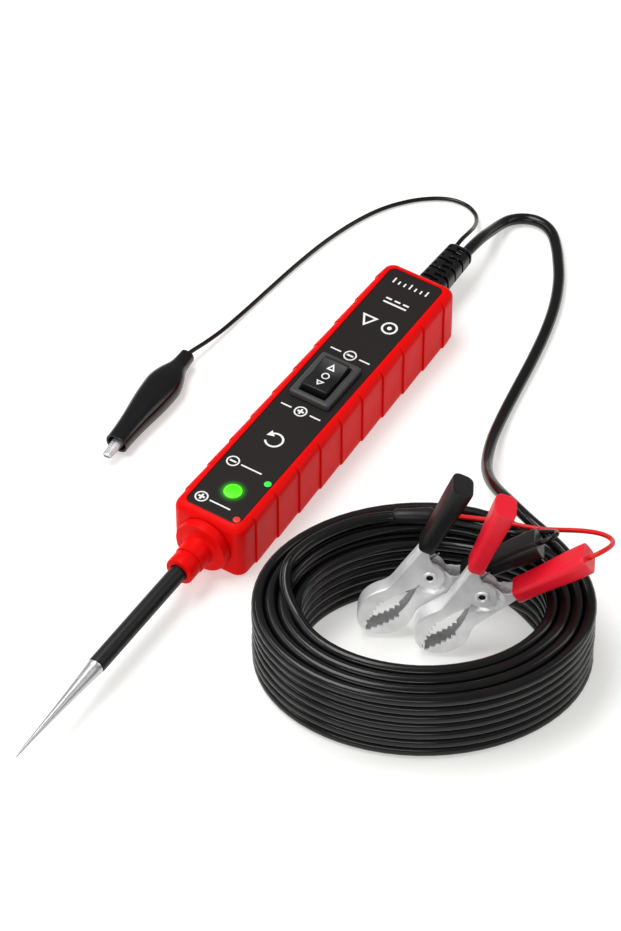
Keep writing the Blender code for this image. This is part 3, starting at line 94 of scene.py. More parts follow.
class Wire:
    """A socket in a material. Arithmetic on it adds Math nodes, and node() adds any other node."""

    def __init__(self, tree, socket):
        self.tree = tree
        self.socket = socket

    def node(self, kind, settings, values, output=0):
        """A new node of that type: first its settings, then the values or links of its sockets."""
        made = self.tree.nodes.new("ShaderNode" + kind)
        for setting, value in settings.items():
            setattr(made, setting, value)
        for key, value in values.items():
            if isinstance(value, Wire):
                self.tree.links.new(value.socket, made.inputs[key])
            else:
                made.inputs[key].default_value = value
        return Wire(self.tree, made.outputs[output])

    def math(self, operation, *values):
        return self.node("Math", {"operation": operation}, dict(enumerate(values)))

    def __add__(self, other):
        return self.math("ADD", self, other)

    def __sub__(self, other):
        return self.math("SUBTRACT", self, other)

    def __rsub__(self, other):
        return self.math("SUBTRACT", other, self)

    def __mul__(self, other):
        return self.math("MULTIPLY", self, other)

    def __truediv__(self, other):
        return self.math("DIVIDE", self, other)

    def root(self):
        return self.math("SQRT", self)

    def sine(self):
        return self.math("SINE", self)

    def stretch(self, low, high):
        """0 at low, 1 at high, held at both ends."""
        return self.node("MapRange", {"clamp": True}, {"Value": self, "From Min": low, "From Max": high})

    def between(self, first, second):
        """The colour between two, by this share."""
        return self.node("Mix", {"data_type": "RGBA"}, {0: self, 6: first, 7: second}, output=2)

    def noise(self, scale, detail=2.0, roughness=0.5):
        return self.node("TexNoise", {}, {"Vector": self, "Scale": scale, "Detail": detail,
                                          "Roughness": roughness})

    def axis(self, number):
        return self.node("SeparateXYZ", {}, {"Vector": self}, output=number)

    def scaled(self, x, y, z):
        return self.node("Mapping", {"vector_type": "POINT"}, {"Vector": self, "Scale": (x, y, z)})

    def bump(self, strength, height):
        return self.node("Bump", {}, {"Strength": strength, "Distance": height, "Height": self})


class Finish:
    """A new Principled material: constants go on its sockets, and feeds are linked to them.

    With a noise on it, a roughness near 0.28 shows as specks and one near 0.37 doesn't, so each paint
    keeps its roughness well to one side of that.
    """

    def __init__(self, name, **constants):
        self.material = bpy.data.materials.new(name)
        self.material.use_nodes = True
        tree = self.material.node_tree
        self.shader = tree.nodes["Principled BSDF"]
        for socket, value in constants.items():
            self.shader.inputs[socket.replace("_", " ")].default_value = value
        self.place = Wire(tree, tree.nodes.new("ShaderNodeTexCoord").outputs["Object"])

    def feed(self, **wires):
        for socket, wire in wires.items():
            wire.tree.links.new(wire.socket, self.shader.inputs[socket.replace("_", " ")])
        return self.material


def varied(level, *parts):
    """A level with some noises on it, each about its middle and by its own amount."""
    return reduce(add, [(noise - 0.5) * amount for noise, amount in parts] + [level])


def shade(colour, factor, lift=0.0):
    """A darker or lighter tone of a colour, with its alpha."""
    return tuple(factor * c + lift for c in colour) + (1.0,)


table_paint = Finish("pale_table", Roughness=0.7, Specular_IOR_Level=0.2, Emission_Strength=0.42,
                     Emission_Color=(1.0, 0.995, 0.97, 1.0))
table_cloud = table_paint.place.noise(6.0)
table_paint.feed(Base_Color=table_cloud.between((0.64, 0.64, 0.63, 1.0), (0.67, 0.67, 0.66, 1.0)))
table = bpy.data.meshes.new("table")
TABLE_HALF = 4.0
TABLE_LEVEL = -0.0002
table.from_pydata([(across * TABLE_HALF, away * TABLE_HALF, TABLE_LEVEL)
                   for across, away in ((-1, -1), (1, -1), (1, 1), (-1, 1))], [], [(0, 1, 2, 3)])
table.materials.append(table_paint.material)
floor = bpy.data.objects.new("table", table)
bpy.context.collection.objects.link(floor)

room = bpy.data.worlds.new("room")
room.use_nodes = True
room.node_tree.nodes["Background"].inputs["Color"].default_value = (1.0, 1.0, 0.99, 1.0)
room.node_tree.nodes["Background"].inputs["Strength"].default_value = 0.34
bpy.context.scene.world = room

for box_name, spot, wide, tall, watts in (
        ("key_box", (-0.20, 0.22, 1.10), 0.90, 0.42, 9.5),
        ("side_box", (0.95, 0.15, 0.60), 0.2, 0.9, 1.6),
        ("front_box", (-0.25, -0.95, 0.60), 1.0, 0.20, 3.6),
        ("strip_box", (-0.75, 0.30, 0.80), 1.3, 0.10, 3.2)):
    soft_box = bpy.data.lights.new(box_name, "AREA")
    soft_box.shape = "RECTANGLE"
    soft_box.size = wide
    soft_box.size_y = tall
    soft_box.energy = watts
    lamp = bpy.data.objects.new(box_name, soft_box)
    bpy.context.collection.objects.link(lamp)
    lamp.location = Vector(on_table(spot))
    lamp.rotation_euler = (aim - lamp.location).to_track_quat("-Z", "Y").to_euler()


# Main cord
# A round cord of two copper strands in black PVC. It leaves the strain relief, lies down on the table
# and is wound into a coil of four columns of turns, and its last half turn lies on top of the others.

CORD = 0.0039
AXIS_Z = 0.01085
RELIEF_GAP = 0.0003
COIL_CENTRE = np.array([0.1318, 0.0401])
COIL_HALF = np.array([0.0535, 0.0414])
COIL_COLUMNS = 4
COIL_LAYERS = 7
COIL_TURNS = 27 + 187 / 360
COIL_START = math.radians(27)
TAIL_START, TAIL_END = math.radians(196), math.radians(112)
TAIL_CLIMB = math.radians(46)
MOVE_OVER = 50 / 360
CORD_SIDE = 0.0016
LIFT = 0.0003
COIL_TOP = COIL_LAYERS * CORD + LIFT
TAIL_Z = COIL_TOP + CORD / 2
JUNCTION_RADIUS = 0.0024
JUNCTION = np.array([0.1226, 0.0722, COIL_TOP + JUNCTION_RADIUS])


def skin(grid, ends="closed"):
    """Points and faces over rows of points, where each row is a closed ring.

    An end is closed by a fan about its row's middle, or the last row is joined to the first. The faces
    are turned outwards by the sign of the volume that they hold.
    """
    rows, count = grid.shape[:2]
    points = grid.reshape(-1, 3)
    first = np.arange(rows * count).reshape(rows, count)
    fans = np.empty((0, 3), int)
    if ends == "joined":
        first = np.vstack([first, first[:1]])
    else:
        points = np.vstack([points, grid[0].mean(0), grid[-1].mean(0)])
        low, high = first[0], first[-1]
        fans = np.vstack([np.column_stack([np.roll(low, -1), low, np.full(count, rows * count)]),
                          np.column_stack([high, np.roll(high, -1), np.full(count, rows * count + 1)])])
    near, far = first[:-1], first[1:]
    quads = np.stack([near, np.roll(near, -1, 1), np.roll(far, -1, 1), far], -1).reshape(-1, 4)
    corners = np.vstack([quads[:, :3], quads[:, [0, 2, 3]], fans])
    a, b, c = (points[corners[:, k]] for k in range(3))
    if np.einsum("ij,ij->i", a, np.cross(b, c)).sum() < 0:
        quads, fans = quads[:, ::-1], fans[:, ::-1]
    return points, quads, fans


def piece(name, skins, paint, body, slot, *stands_for, sharp=40.0):
    """One mesh of some skins, with its paint. It moves with a body and stands for the named CAD nodes."""
    start = np.cumsum([0] + [len(points) for points, quads, fans in skins])
    faces = [face for (points, quads, fans), k in zip(skins, start)
             for face in (quads + k).tolist() + (fans + k).tolist()]
    mesh = bpy.data.meshes.new(name)
    mesh.from_pydata(np.vstack([points for points, quads, fans in skins]).tolist(), [], faces)
    mesh.shade_smooth()
    mesh.set_sharp_from_angle(angle=math.radians(sharp))
    mesh.materials.append(paint)
    made = bpy.data.objects.new(name, mesh)
    bpy.context.collection.objects.link(made)
    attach(made, body)
    if stands_for:
        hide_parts(*stands_for)
    return made


def through(points, count):
    """Points at even spacing on a Catmull-Rom curve through the given ones."""
    spots = np.asarray(points, float)
    spots = np.vstack([2 * spots[0] - spots[1], spots, 2 * spots[-1] - spots[-2]])
    a, b, c, d = (spots[k:len(spots) - 3 + k][:, None] for k in range(4))
    t = np.linspace(0, 1, 16, endpoint=False)[None, :, None]
    fine = (2 * b + (c - a) * t + (2 * a - 5 * b + 4 * c - d) * t ** 2 + (3 * b - a - 3 * c + d) * t ** 3) / 2
    fine = np.vstack([fine.reshape(-1, fine.shape[2]), spots[-2]])
    run = np.r_[0, np.cumsum(np.linalg.norm(np.diff(fine, axis=0), axis=1))]
    even = np.linspace(0, run[-1], count)
    return np.column_stack([np.interp(even, run, fine[:, k]) for k in range(fine.shape[1])])


def whole_turn(count):
    """Even angles round a turn, without its end."""
    return np.linspace(0, 2 * np.pi, count, endpoint=False)


def tube(path, radius, sides):
    """A round section carried along a path.

    Each ring's own axes are the level direction across the path and the one that is square to both.
    """
    along = np.gradient(path, axis=0)
    along /= np.linalg.norm(along, axis=1)[:, None]
    across = np.cross([0.0, 0.0, 1.0], along)
    across /= np.linalg.norm(across, axis=1)[:, None]
    up = np.cross(along, across)
    angle = whole_turn(sides)[None, :, None]
    return path[:, None] + radius * (np.cos(angle) * across[:, None] + np.sin(angle) * up[:, None])


def relief_exit(sideways, beyond=0.0):
    """A point past the strain relief's end, in the table's layout."""
    out = RELIEF_GAP + beyond
    cosine, sine = math.cos(TABLE_TURN), math.sin(TABLE_TURN)
    return (RELIEF_TIP[0] - out * cosine + sideways * sine,
            RELIEF_TIP[1] + out * sine + sideways * cosine, AXIS_Z)


def on_oval(angle, inset):
    """Points of the coil's oval at angles of its own parameter, moved inwards along its normal."""
    angle = np.asarray(angle, float)
    across, away = np.cos(angle), np.sin(angle)
    outward = np.stack([across / COIL_HALF[0], away / COIL_HALF[1]], -1)
    outward /= np.linalg.norm(outward, axis=-1)[..., None]
    spot = COIL_CENTRE + np.stack([across, away], -1) * COIL_HALF
    return spot - outward * np.broadcast_to(inset, angle.shape)[..., None]


def smooth_step(value):
    """0 up to 0 and 1 from 1, with a level start and end between."""
    value = np.clip(value, 0, 1)
    return value * value * (3 - 2 * value)


def wound_turns(per_turn=66):
    """The coil's centre line, clockwise from where the cord reaches it.

    A turn keeps its column and its layer, and in its last 50 degrees moves over to the next one, on an
    S-shaped ease. The columns run inwards, down and up in turn. A slow sine keeps it from looking machined.
    """
    run = np.arange(int(COIL_TURNS * per_turn)) / per_turn
    number = np.floor(run)
    ease = smooth_step((run - number - 1 + MOVE_OVER) / MOVE_OVER)

    def place(turn):
        column = turn // COIL_LAYERS
        layer = turn % COIL_LAYERS
        level = np.where(column % 2 == 0, COIL_LAYERS - 1 - layer, layer)
        return CORD * (column + 0.5), CORD * (level + 0.5)

    inset, height = place(number)
    next_inset, next_height = place(np.minimum(number + 1, COIL_COLUMNS * COIL_LAYERS - 1))
    angle = COIL_START - 2 * np.pi * run
    inset = inset + ease * (next_inset - inset) + 0.00010 * np.sin(3 * angle + 1.7 * number)
    height = height + ease * (next_height - height) + 0.00006 * np.sin(2 * angle + 2.3 * number)
    height = np.maximum(height, CORD / 2 + 0.00005)
    return np.column_stack([on_oval(angle, inset), height])


def coil_tail():
    """The last half turn climbs on to the coil and runs over it to the junction."""
    angle = np.linspace(TAIL_START, TAIL_END, 20)
    climb = smooth_step((TAIL_START - angle) / TAIL_CLIMB)
    inset = (3.5 - climb * 1.5) * CORD
    start = (COIL_LAYERS - 0.5) * CORD
    turn = np.column_stack([on_oval(angle, inset), start + climb * (TAIL_Z - start)])
    return np.vstack([turn, [(JUNCTION[0] + ahead, JUNCTION[1], TAIL_Z) for ahead in (-0.0020, 0.0004)]])


rest = CORD / 2 + 0.0001
approach = [relief_exit(CORD_SIDE, beyond) for beyond in (-0.0030, 0.0, 0.0020)] + [
    (0.1537, 0.2148, 0.0103), (0.1566, 0.2198, 0.0087), (0.1598, 0.2256, 0.0060), (0.1630, 0.2309, 0.0036),
    (0.1664, 0.2342, 0.0025), (0.1708, 0.2355, rest), (0.1752, 0.2346, rest), (0.1788, 0.2318, rest),
    (0.1809, 0.2277, rest), (0.1818, 0.2225, rest), (0.1822, 0.2160, rest), (0.1820, 0.2055, rest),
    (0.1801, 0.1935, rest), (0.1765, 0.1810, rest), (0.1716, 0.1680, rest),
    (0.1661, 0.1550, rest), (0.1608, 0.1420, 0.0024), (0.1566, 0.1290, 0.0042), (0.1544, 0.1160, 0.0078),
    (0.1544, 0.1048, 0.0130), (0.1563, 0.0942, 0.0187), (0.1602, 0.0838, 0.0237), (0.16541, 0.07506, 0.02535),
    (0.1715, 0.0674, 0.02535)]
# The approach is drawn on past the coil's first point, and its last points are dropped, so that the line
# runs smoothly into the first turn and never back on itself.
wound = wound_turns()
arriving = through(approach + [tuple(wound[0]), tuple(wound[4])], 190)[:-12]
cord_path = on_table(np.vstack([arriving, wound, coil_tail()]))


def pvc(name, colour, roughness):
    """Soft extruded PVC: faint clouds of dust, a little change of gloss, and a fine skin."""
    paint = Finish(name, Specular_IOR_Level=0.30)
    cloud = paint.place.noise(70.0, 3.0)
    grain = paint.place.noise(1800.0, 2.0)
    return paint.feed(Base_Color=cloud.between(shade(colour, 0.8), shade(colour, 1.25, 0.002)),
                      Roughness=varied(roughness, (cloud, 0.10), (grain, 0.04)),
                      Normal=grain.bump(0.12, 0.00006))


CORD_BLACK = pvc("cord_black", (0.003, 0.003, 0.003), 0.19)
main_cord = piece("cord", [skin(tube(cord_path, CORD / 2, 14))], CORD_BLACK, "tester", "cord_black",
                  "main_cord", "cord_coil", "cord_tail")


# Lead junction
# A moulded block where the cord splits into the two thin clamp leads.

JUNCTION_LENGTH = 0.0130


def columns(*values):
    """Each value as a column, with one number for each row of a grid."""
    return [np.asarray(value, float).reshape(-1, 1) for value in values]


def grid_of(x, y, z):
    """Points from their coordinates. A coordinate with fewer dimensions serves for the whole grid."""
    return np.stack(np.broadcast_arrays(x, y, z), -1)


def rounded(half_wide, half_high, corner, steps=6):
    """Rings of rectangles with round corners: each corner's centre plus its radius in each direction."""
    half_wide, half_high, corner = columns(half_wide, half_high, corner)
    angle = np.radians(np.concatenate([start + np.linspace(0, 90, steps + 1) for start in (0, 90, 180, 270)]))
    side = np.repeat([1, -1, -1, 1], steps + 1)
    top = np.repeat([1, 1, -1, -1], steps + 1)
    return (side * (half_wide - corner) + corner * np.cos(angle),
            top * (half_high - corner) + corner * np.sin(angle))


def moulded(name, colour, roughness, grain, spread=0.12, gloss=0.28):
    """Moulded plastic: faint flow clouds in the colour, a spark-eroded grain, and handled patches."""
    paint = Finish(name, Specular_IOR_Level=gloss)
    cloud = paint.place.noise(38.0, 3.0)
    touch = paint.place.noise(160.0, 2.0)
    fine = paint.place.noise(2600.0, 2.0)
    return paint.feed(Base_Color=cloud.between(shade(colour, 1 - spread), shade(colour, 1 + spread)),
                      Roughness=varied(roughness, (touch, 0.14), (fine, 0.10)),
                      Normal=fine.bump(grain, 0.00008))


BLACK_PLASTIC = moulded("black_plastic", (0.006, 0.006, 0.006), 0.40, 0.20)
share = np.array([0.0, 0.03, 0.10, 0.55, 0.85, 0.95, 1.0])
width = JUNCTION_RADIUS * np.array([0.62, 0.80, 0.95, 1.03, 1.12, 1.12, 0.92])
tall = np.minimum(width, JUNCTION_RADIUS)
side, top = rounded(width, tall, tall * 0.9)
block = JUNCTION + grid_of(share[:, None] * JUNCTION_LENGTH, side, top)
junction = piece("junction_block", [skin(on_table(block))], BLACK_PLASTIC, "tester", "black_plastic",
                 "lead_junction")


# Strain relief
# Soft black PVC moulded round both cords and snapped into the casing's rear wall. Slots from both sides
# and square windows let it bend.

RELIEF_LENGTH = 0.0250
RELIEF_PITCH = 0.0050
CASE_REAR = -0.10525


def within(value, low, high, soft):
    """1 between two limits and 0 outside, with soft steps of that width."""
    return smooth_step((value - low) / soft) * smooth_step((high - value) / soft)


def squarish(angle, power):
    """The two coordinates of a round ring, drawn out towards a square by a power below 1."""
    return [np.sign(part) * np.abs(part) ** power for part in (np.cos(angle), np.sin(angle))]


def relief_grid():
    """A tapered block with a squarish round section, pressed in by a depth that depends on the place on it.

    Counted in pitches from its far end: slots round its left half, a square window on each lump between
    them, bars at twice that pitch in a channel right of the middle, and slots round its right edge that
    lie half a pitch away.
    """
    back = np.linspace(0.0, RELIEF_LENGTH, 220)[:, None]
    last = np.clip((back - RELIEF_LENGTH + 0.0012) / 0.0012, 0, 1)
    inset = 0.0012 * (1 - np.sqrt(1 - 0.998 * last ** 2))
    share = back / RELIEF_LENGTH
    side, top = squarish(whole_turn(190), 0.6)
    side = (0.0052 - 0.0006 * share - inset) * side
    top = (0.0044 - 0.0010 * share - inset) * top
    pitches = (RELIEF_LENGTH - back) / RELIEF_PITCH
    phase = pitches - np.floor(pitches)
    left_slots = within(phase, 0.78, 0.99, 0.03) * smooth_step((-0.0002 - side) / 0.0002)
    windows = within(phase, 0.34, 0.58, 0.03) * within(side, -0.0037, -0.0025, 0.00015) * (top > 0)
    bars = (1 - within((2 * phase) % 1, 0.22, 0.74, 0.06)) * within(side, 0.0002, 0.0027, 0.0002) * (top > 0)
    right_slots = within(phase, 0.30, 0.50, 0.03) * smooth_step((side - 0.0030) / 0.0002)
    depth = 0.0013 * left_slots + 0.0010 * windows + 0.0010 * bars + 0.0012 * right_slots
    shrink = 1 - depth * smooth_step((pitches - 0.14) / 0.04) / np.hypot(side, top)
    x = CASE_REAR - 0.0003 - back * (RELIEF_LENGTH - 0.0003) / RELIEF_LENGTH
    return grid_of(x, side * shrink, AXIS_Z + top * shrink)


piece("relief", [skin(relief_grid())], CORD_BLACK, "tester", "black_plastic", "strain_relief")


# Casing
# The handle is one red ABS moulding, open below. Ten saw-tooth ribs run round its sides, its edges are
# well rounded, and the face panel lies in a shallow recess of its top.

CASE_FRONT = 0.02575
CASE_HALF = 0.01325
CASE_TOP = 0.0217
EDGE = 0.0030
BASE_EDGE = 0.0014
CASE_WALL = 0.0020
RECESS_FLOOR = 0.0205
RIB_PITCH = 0.0126667
RIB_FIRST = CASE_REAR + 0.0084
RIB_FLARE = 0.0005


def rib_flare(x):
    """How far the side stands out: more along each rib towards the probe, then back at a thin groove."""
    past = x - RIB_FIRST
    number = np.clip(np.floor(past / RIB_PITCH), -1, 9)
    phase = past - number * RIB_PITCH
    rise = np.where(number < 0, np.clip((x - CASE_REAR - 0.0026) / 0.0058, 0, 1),
                    np.clip((phase - 0.0006) / (RIB_PITCH - 0.0006), 0, 1)) * (number < 9)
    groove = np.clip(1 - np.abs(phase - 0.00016) / 0.00016, 0, 1) * (number >= 0)
    step = np.where((number >= 0) & (phase < 0.00002), 1.0, 0.0)
    return RIB_FLARE * np.maximum(rise, step) - 0.00045 * groove


def plan_rings(end_inset, side_inset, corner, height, flare):
    """Plan outlines of the casing, one for each row of the section.

    Each is a rectangle with round corners. Its long sides are sampled round the ribs, and stand out there.
    """
    end_inset, side_inset, corner, height, flare = columns(end_inset, side_inset, corner, height, flare)
    quarter = np.linspace(0, 90, 9)
    ribs = RIB_FIRST + RIB_PITCH * np.arange(10)[:, None]
    spots = (ribs + np.array([-0.0060, -0.0020, -0.0004, -0.00001, 0.0, 0.00008, 0.00016, 0.00032, 0.0005,
                              0.0010, 0.0030])).ravel()
    spots = np.sort(spots)[::-1]
    parts = [9, len(spots), 9] * 2
    half_round = np.r_[quarter, 0 * spots + 90, quarter + 90]
    angle = np.radians(np.r_[half_round, half_round + 180])
    front = np.repeat([1, 0, -1, -1, 0, 1], parts)
    left = np.repeat([1, 1, 1, -1, -1, -1], parts)
    station = np.r_[0 * quarter, spots, 0 * quarter, 0 * quarter, spots[::-1], 0 * quarter]
    on_side = np.repeat([False, True, False] * 2, parts)
    middle = (CASE_FRONT + CASE_REAR) / 2
    reach = (CASE_FRONT - CASE_REAR) / 2 - end_inset - corner
    x = np.where(on_side, np.clip(station, middle - reach, middle + reach),
                 middle + front * reach + corner * np.cos(angle))
    y = left * (CASE_HALF - side_inset - corner) + corner * np.sin(angle)
    y = y + left * on_side * flare * rib_flare(station)
    return grid_of(x, y, height)


def casing_grid():
    """The section, row by row, carried round the plan: recess floor, recess wall and its soft lip, the
    rounded edge, the side, the rounded base, and back up inside the wall."""
    edge = np.radians(np.linspace(80, 0, 10))
    base = np.radians(np.linspace(0, 90, 6))
    side_inset = np.r_[0.0042, 0.00300, 0.00300, 0.00296, 0.00282, EDGE * (1 - np.cos(edge)), np.zeros(4),
                       BASE_EDGE * (1 - np.cos(base)), CASE_WALL, CASE_WALL, 0.0042]
    height = np.r_[RECESS_FLOOR, RECESS_FLOOR, 0.02160, 0.02167, CASE_TOP,
                   CASE_TOP - EDGE + EDGE * np.sin(edge), 0.0150, 0.0110, 0.0070, 0.0035,
                   BASE_EDGE * (1 - np.sin(base)), 0.0, 0.0187, 0.0187]
    end_inset = side_inset * np.where(side_inset < 0.0032, 0.95, 1.0)
    corner = np.maximum(0.0036 - 0.42 * side_inset, 0.0008)
    flare = np.r_[0, 0, 0, 0, 0.2, 0.35 + 0.65 * (1 - np.sin(edge)) ** 0.5, np.ones(9), 0.4, 0, 0, 0]
    return plan_rings(end_inset, side_inset, corner, height, flare)


RED_PLASTIC = moulded("red_plastic", (0.72, 0.003, 0.003), 0.37, 0.03, 0.05, 0.05)
piece("casing", [skin(casing_grid(), "joined")], RED_PLASTIC, "tester", "red_plastic", "housing", sharp=28.0)


# Face panel
# A thin black plate with a fine matt grain, laid in the recess. Its marks are printed in white: a plus
# and a minus at the lamps and at the switch, a turned arrow for the reset, and plain signs behind.

PANEL_TOP = 0.0215
PANEL_LOW = 0.0208


def plain_ring(half_long, half_wide, corner, height, middle=0.0, steps=8):
    """Round-cornered rectangles in plan about a point of the centre line, one for each row."""
    x, y = rounded(half_long, half_wide, corner, steps)
    return grid_of(middle + x, y, *columns(height))


panel_long = (CASE_FRONT - CASE_REAR) / 2 - 0.0030
panel_edge = np.array([0.0, 0.0, 0.00004, 0.00012, 0.0005])
panel_height = [PANEL_LOW, PANEL_TOP - 0.00012, PANEL_TOP - 0.00004, PANEL_TOP, PANEL_TOP]
panel_grid = plain_ring(panel_long - panel_edge, CASE_HALF - 0.00315 - panel_edge, 0.0020 - panel_edge,
                        panel_height, (CASE_FRONT + CASE_REAR) / 2)

LAMPS = (("main_lamp", CASE_FRONT - 0.0144, 0.0008, 0.0030, "lamp_green"),
         ("green_lamp", CASE_FRONT - 0.0229, 0.0085, 0.0012, "lamp_green"),
         ("red_lamp", CASE_FRONT - 0.0048, 0.0085, 0.0012, "lamp_red"))


def panel_paint():
    """Matt black film, with a painted green glow round the large lamp, where its light would spill on to the
    film.
    """
    paint = Finish("panel_black", Emission_Strength=1.0, Specular_IOR_Level=0.16)
    cloud = paint.place.noise(30.0, 3.0)
    fine = paint.place.noise(3200.0, 2.0)
    x = paint.place.axis(0) - LAMPS[0][1]
    y = paint.place.axis(1) - LAMPS[0][2]
    away = (x * x + y * y).root()
    # Painted light: a green glow in the panel's emission, full up to 2.9 mm from the large lamp's centre and
    # gone at 5.6 mm.
    glow = 1 - away.stretch(0.0029, 0.0056)
    glow = glow * glow * glow
    return paint.feed(Base_Color=cloud.between((0.0105, 0.0085, 0.0078, 1.0), (0.0145, 0.0118, 0.0108, 1.0)),
                      Roughness=varied(0.46, (fine, 0.12), (cloud, 0.10)),
                      Emission_Color=glow.between((0.0, 0.0, 0.0, 1.0), (0.02, 0.42, 0.005, 1.0)),
                      Normal=fine.bump(0.15, 0.00005))


piece("panel", [skin(panel_grid)], panel_paint(), "tester", "panel_black", "face_panel")


INK_LOW, INK_HIGH = PANEL_TOP - 0.00002, PANEL_TOP + 0.00003
STROKE = 0.00070
SWITCH_MIDDLE = CASE_FRONT - 0.0704


def bar(x, y, long, wide):
    """A rectangle about a point."""
    return np.array([(-1, -1), (1, -1), (1, 1), (-1, 1)]) * (long / 2, wide / 2) + (x, y)


def on_ring(x, y, radius, angle):
    """Points at angles on a circle about a point."""
    return np.column_stack([x + radius * np.cos(angle), y + radius * np.sin(angle)])


def round_line(x, y, radius, count=40):
    """A circle of even points."""
    return on_ring(x, y, radius, whole_turn(count))


def three_corners(x, y, radius, point=0.0):
    """An even triangle about a point, with its first corner at an angle in degrees."""
    return on_ring(x, y, radius, np.radians(point + np.array([0, 120, 240])))


def stacked(rows, ends="closed"):
    """A skin over rows of (flat outline, height), where a height is one number or one for each point."""
    return skin(np.stack([grid_of(line[:, 0], line[:, 1], height) for line, height in rows]), ends)


def printed(outline):
    """An outline filled with ink."""
    return stacked([(outline, INK_LOW), (outline, INK_HIGH)])


def band(outer, inner):
    """Ink between two outlines of equally many points."""
    return stacked([(outer, INK_LOW), (outer, INK_HIGH), (inner, INK_HIGH), (inner, INK_LOW)], "joined")


def sign(x, y, plus):
    """A plus or a minus in a ring. The plus is one outline of twelve corners."""
    short, long = STROKE / 2, 0.00120
    quarter = np.array([(short, short), (long, short), (long, -short)])
    quarter_turn = np.array([[0, -1], [1, 0]])
    cross = np.vstack([quarter @ np.linalg.matrix_power(quarter_turn, k) for k in range(4)])
    middle = printed(cross + (x, y)) if plus else printed(bar(x, y, STROKE, 2 * long))
    return [band(round_line(x, y, 0.00225), round_line(x, y, 0.00175)), middle]


def turned_arrow(x, y, radius):
    """Most of a ring, carried as a flat band along its arc, with an arrow's head at one end."""
    turn = np.radians(np.linspace(-60, 215, 44))
    reach = radius + np.array([-STROKE, STROKE, STROKE, -STROKE]) / 2
    arc = grid_of(x + reach * np.cos(turn)[:, None], y + reach * np.sin(turn)[:, None],
                  [INK_LOW, INK_LOW, INK_HIGH, INK_HIGH])
    past = turn[-1] + 0.00085 / radius
    head = on_ring(x, y, radius, np.array([past]))[0]
    return [skin(arc), printed(three_corners(*head, 0.0016, math.degrees(past) + 84))]


marks = []
for from_front, plus in ((0.0072, True), (0.0254, False)):
    x = CASE_FRONT - from_front
    marks += sign(x, -0.0064, plus) + [printed(bar(x, 0.0006, 0.00055, 0.0078))]
for x, plus in ((SWITCH_MIDDLE + 0.0150, True), (SWITCH_MIDDLE - 0.0150, False)):
    marks += sign(x, 0.0, plus) + [printed(bar(x, side * 0.0055, 0.00055, 0.0040)) for side in (-1, 1)]
marks += turned_arrow(CASE_FRONT - 0.0402, -0.0003, 0.0029)
ring_x = CASE_FRONT - 0.1030
marks += [band(round_line(ring_x, 0.0042, 0.0028), round_line(ring_x, 0.0042, 0.0021)),
          printed(round_line(ring_x, 0.0042, 0.0008, 20)),
          band(three_corners(ring_x, -0.0040, 0.0035), three_corners(ring_x, -0.0040, 0.0021))]
marks.append(printed(bar(CASE_FRONT - 0.1130, 0.0, STROKE, 0.0088)))
marks += [printed(bar(CASE_FRONT - 0.1148, 0.0033 * k, STROKE, 0.0022)) for k in (-1, 0, 1)]
for k in range(-3, 4):
    long = 0.0024 if k % 3 == 0 else 0.0016
    marks.append(printed(bar(CASE_FRONT - 0.1220 - long / 2, 0.0021 * k, long, 0.00055)))

ink = Finish("white_ink")  # a little thin in places
thin = ink.place.noise(900.0, 3.0)
WHITE_INK = ink.feed(Base_Color=thin.between((0.70, 0.70, 0.69, 1.0), (0.88, 0.88, 0.87, 1.0)),
                     Roughness=varied(0.5, (thin, 0.2)))
piece("face_marks", marks, WHITE_INK, "tester", "panel_black")


# Rocker switch
# A snap-in switch: a grey bezel on the panel with its body below, and a dished black rocker in its well,
# printed with two triangles and a ring.

PIVOT_Z = 0.0208
ROCKER_HALF = 0.00745
ROCKER_SIDE = 0.0047


def switch_grid():
    """Rows from the body's foot up its outside, out under the bezel and over it, and down into the well."""
    turn = np.radians([22, 45, 68, 90])
    drop = 1 - np.cos(turn)
    half_long = np.r_[0.0096, 0.0096, 0.0105, 0.0105, 0.0105 - 0.0007 * drop, 0.0088, [0.0085] * 3]
    half_wide = np.r_[0.00645, 0.00645, 0.0075, 0.0075, 0.0075 - 0.0007 * drop, 0.0054, [0.0051] * 3]
    corner = np.r_[0.0004, 0.0004, 0.0009, 0.0009, 0.0009 - 0.0003 * drop, 0.0004, [0.0003] * 3]
    height = np.r_[0.0118, 0.0218, 0.0218, 0.0231, 0.0231 + 0.0007 * np.sin(turn), 0.0238, 0.0236, 0.0200,
                   0.0132]
    return plain_ring(half_long, half_wide, corner, height, SWITCH_MIDDLE)


SWITCH_GREY = moulded("switch_grey", (0.050, 0.050, 0.052), 0.40, 0.18)
piece("switch_bezel", [skin(switch_grid())], SWITCH_GREY, "tester", "switch_grey", "switch_frame", sharp=30.0)


def rocker_top(x):
    """The rocker's top above its pivot: low in the middle, and higher towards both ends."""
    return 0.0041 + 0.0011 * np.clip(np.abs(x) / 0.0066, 0, 1) ** 1.7


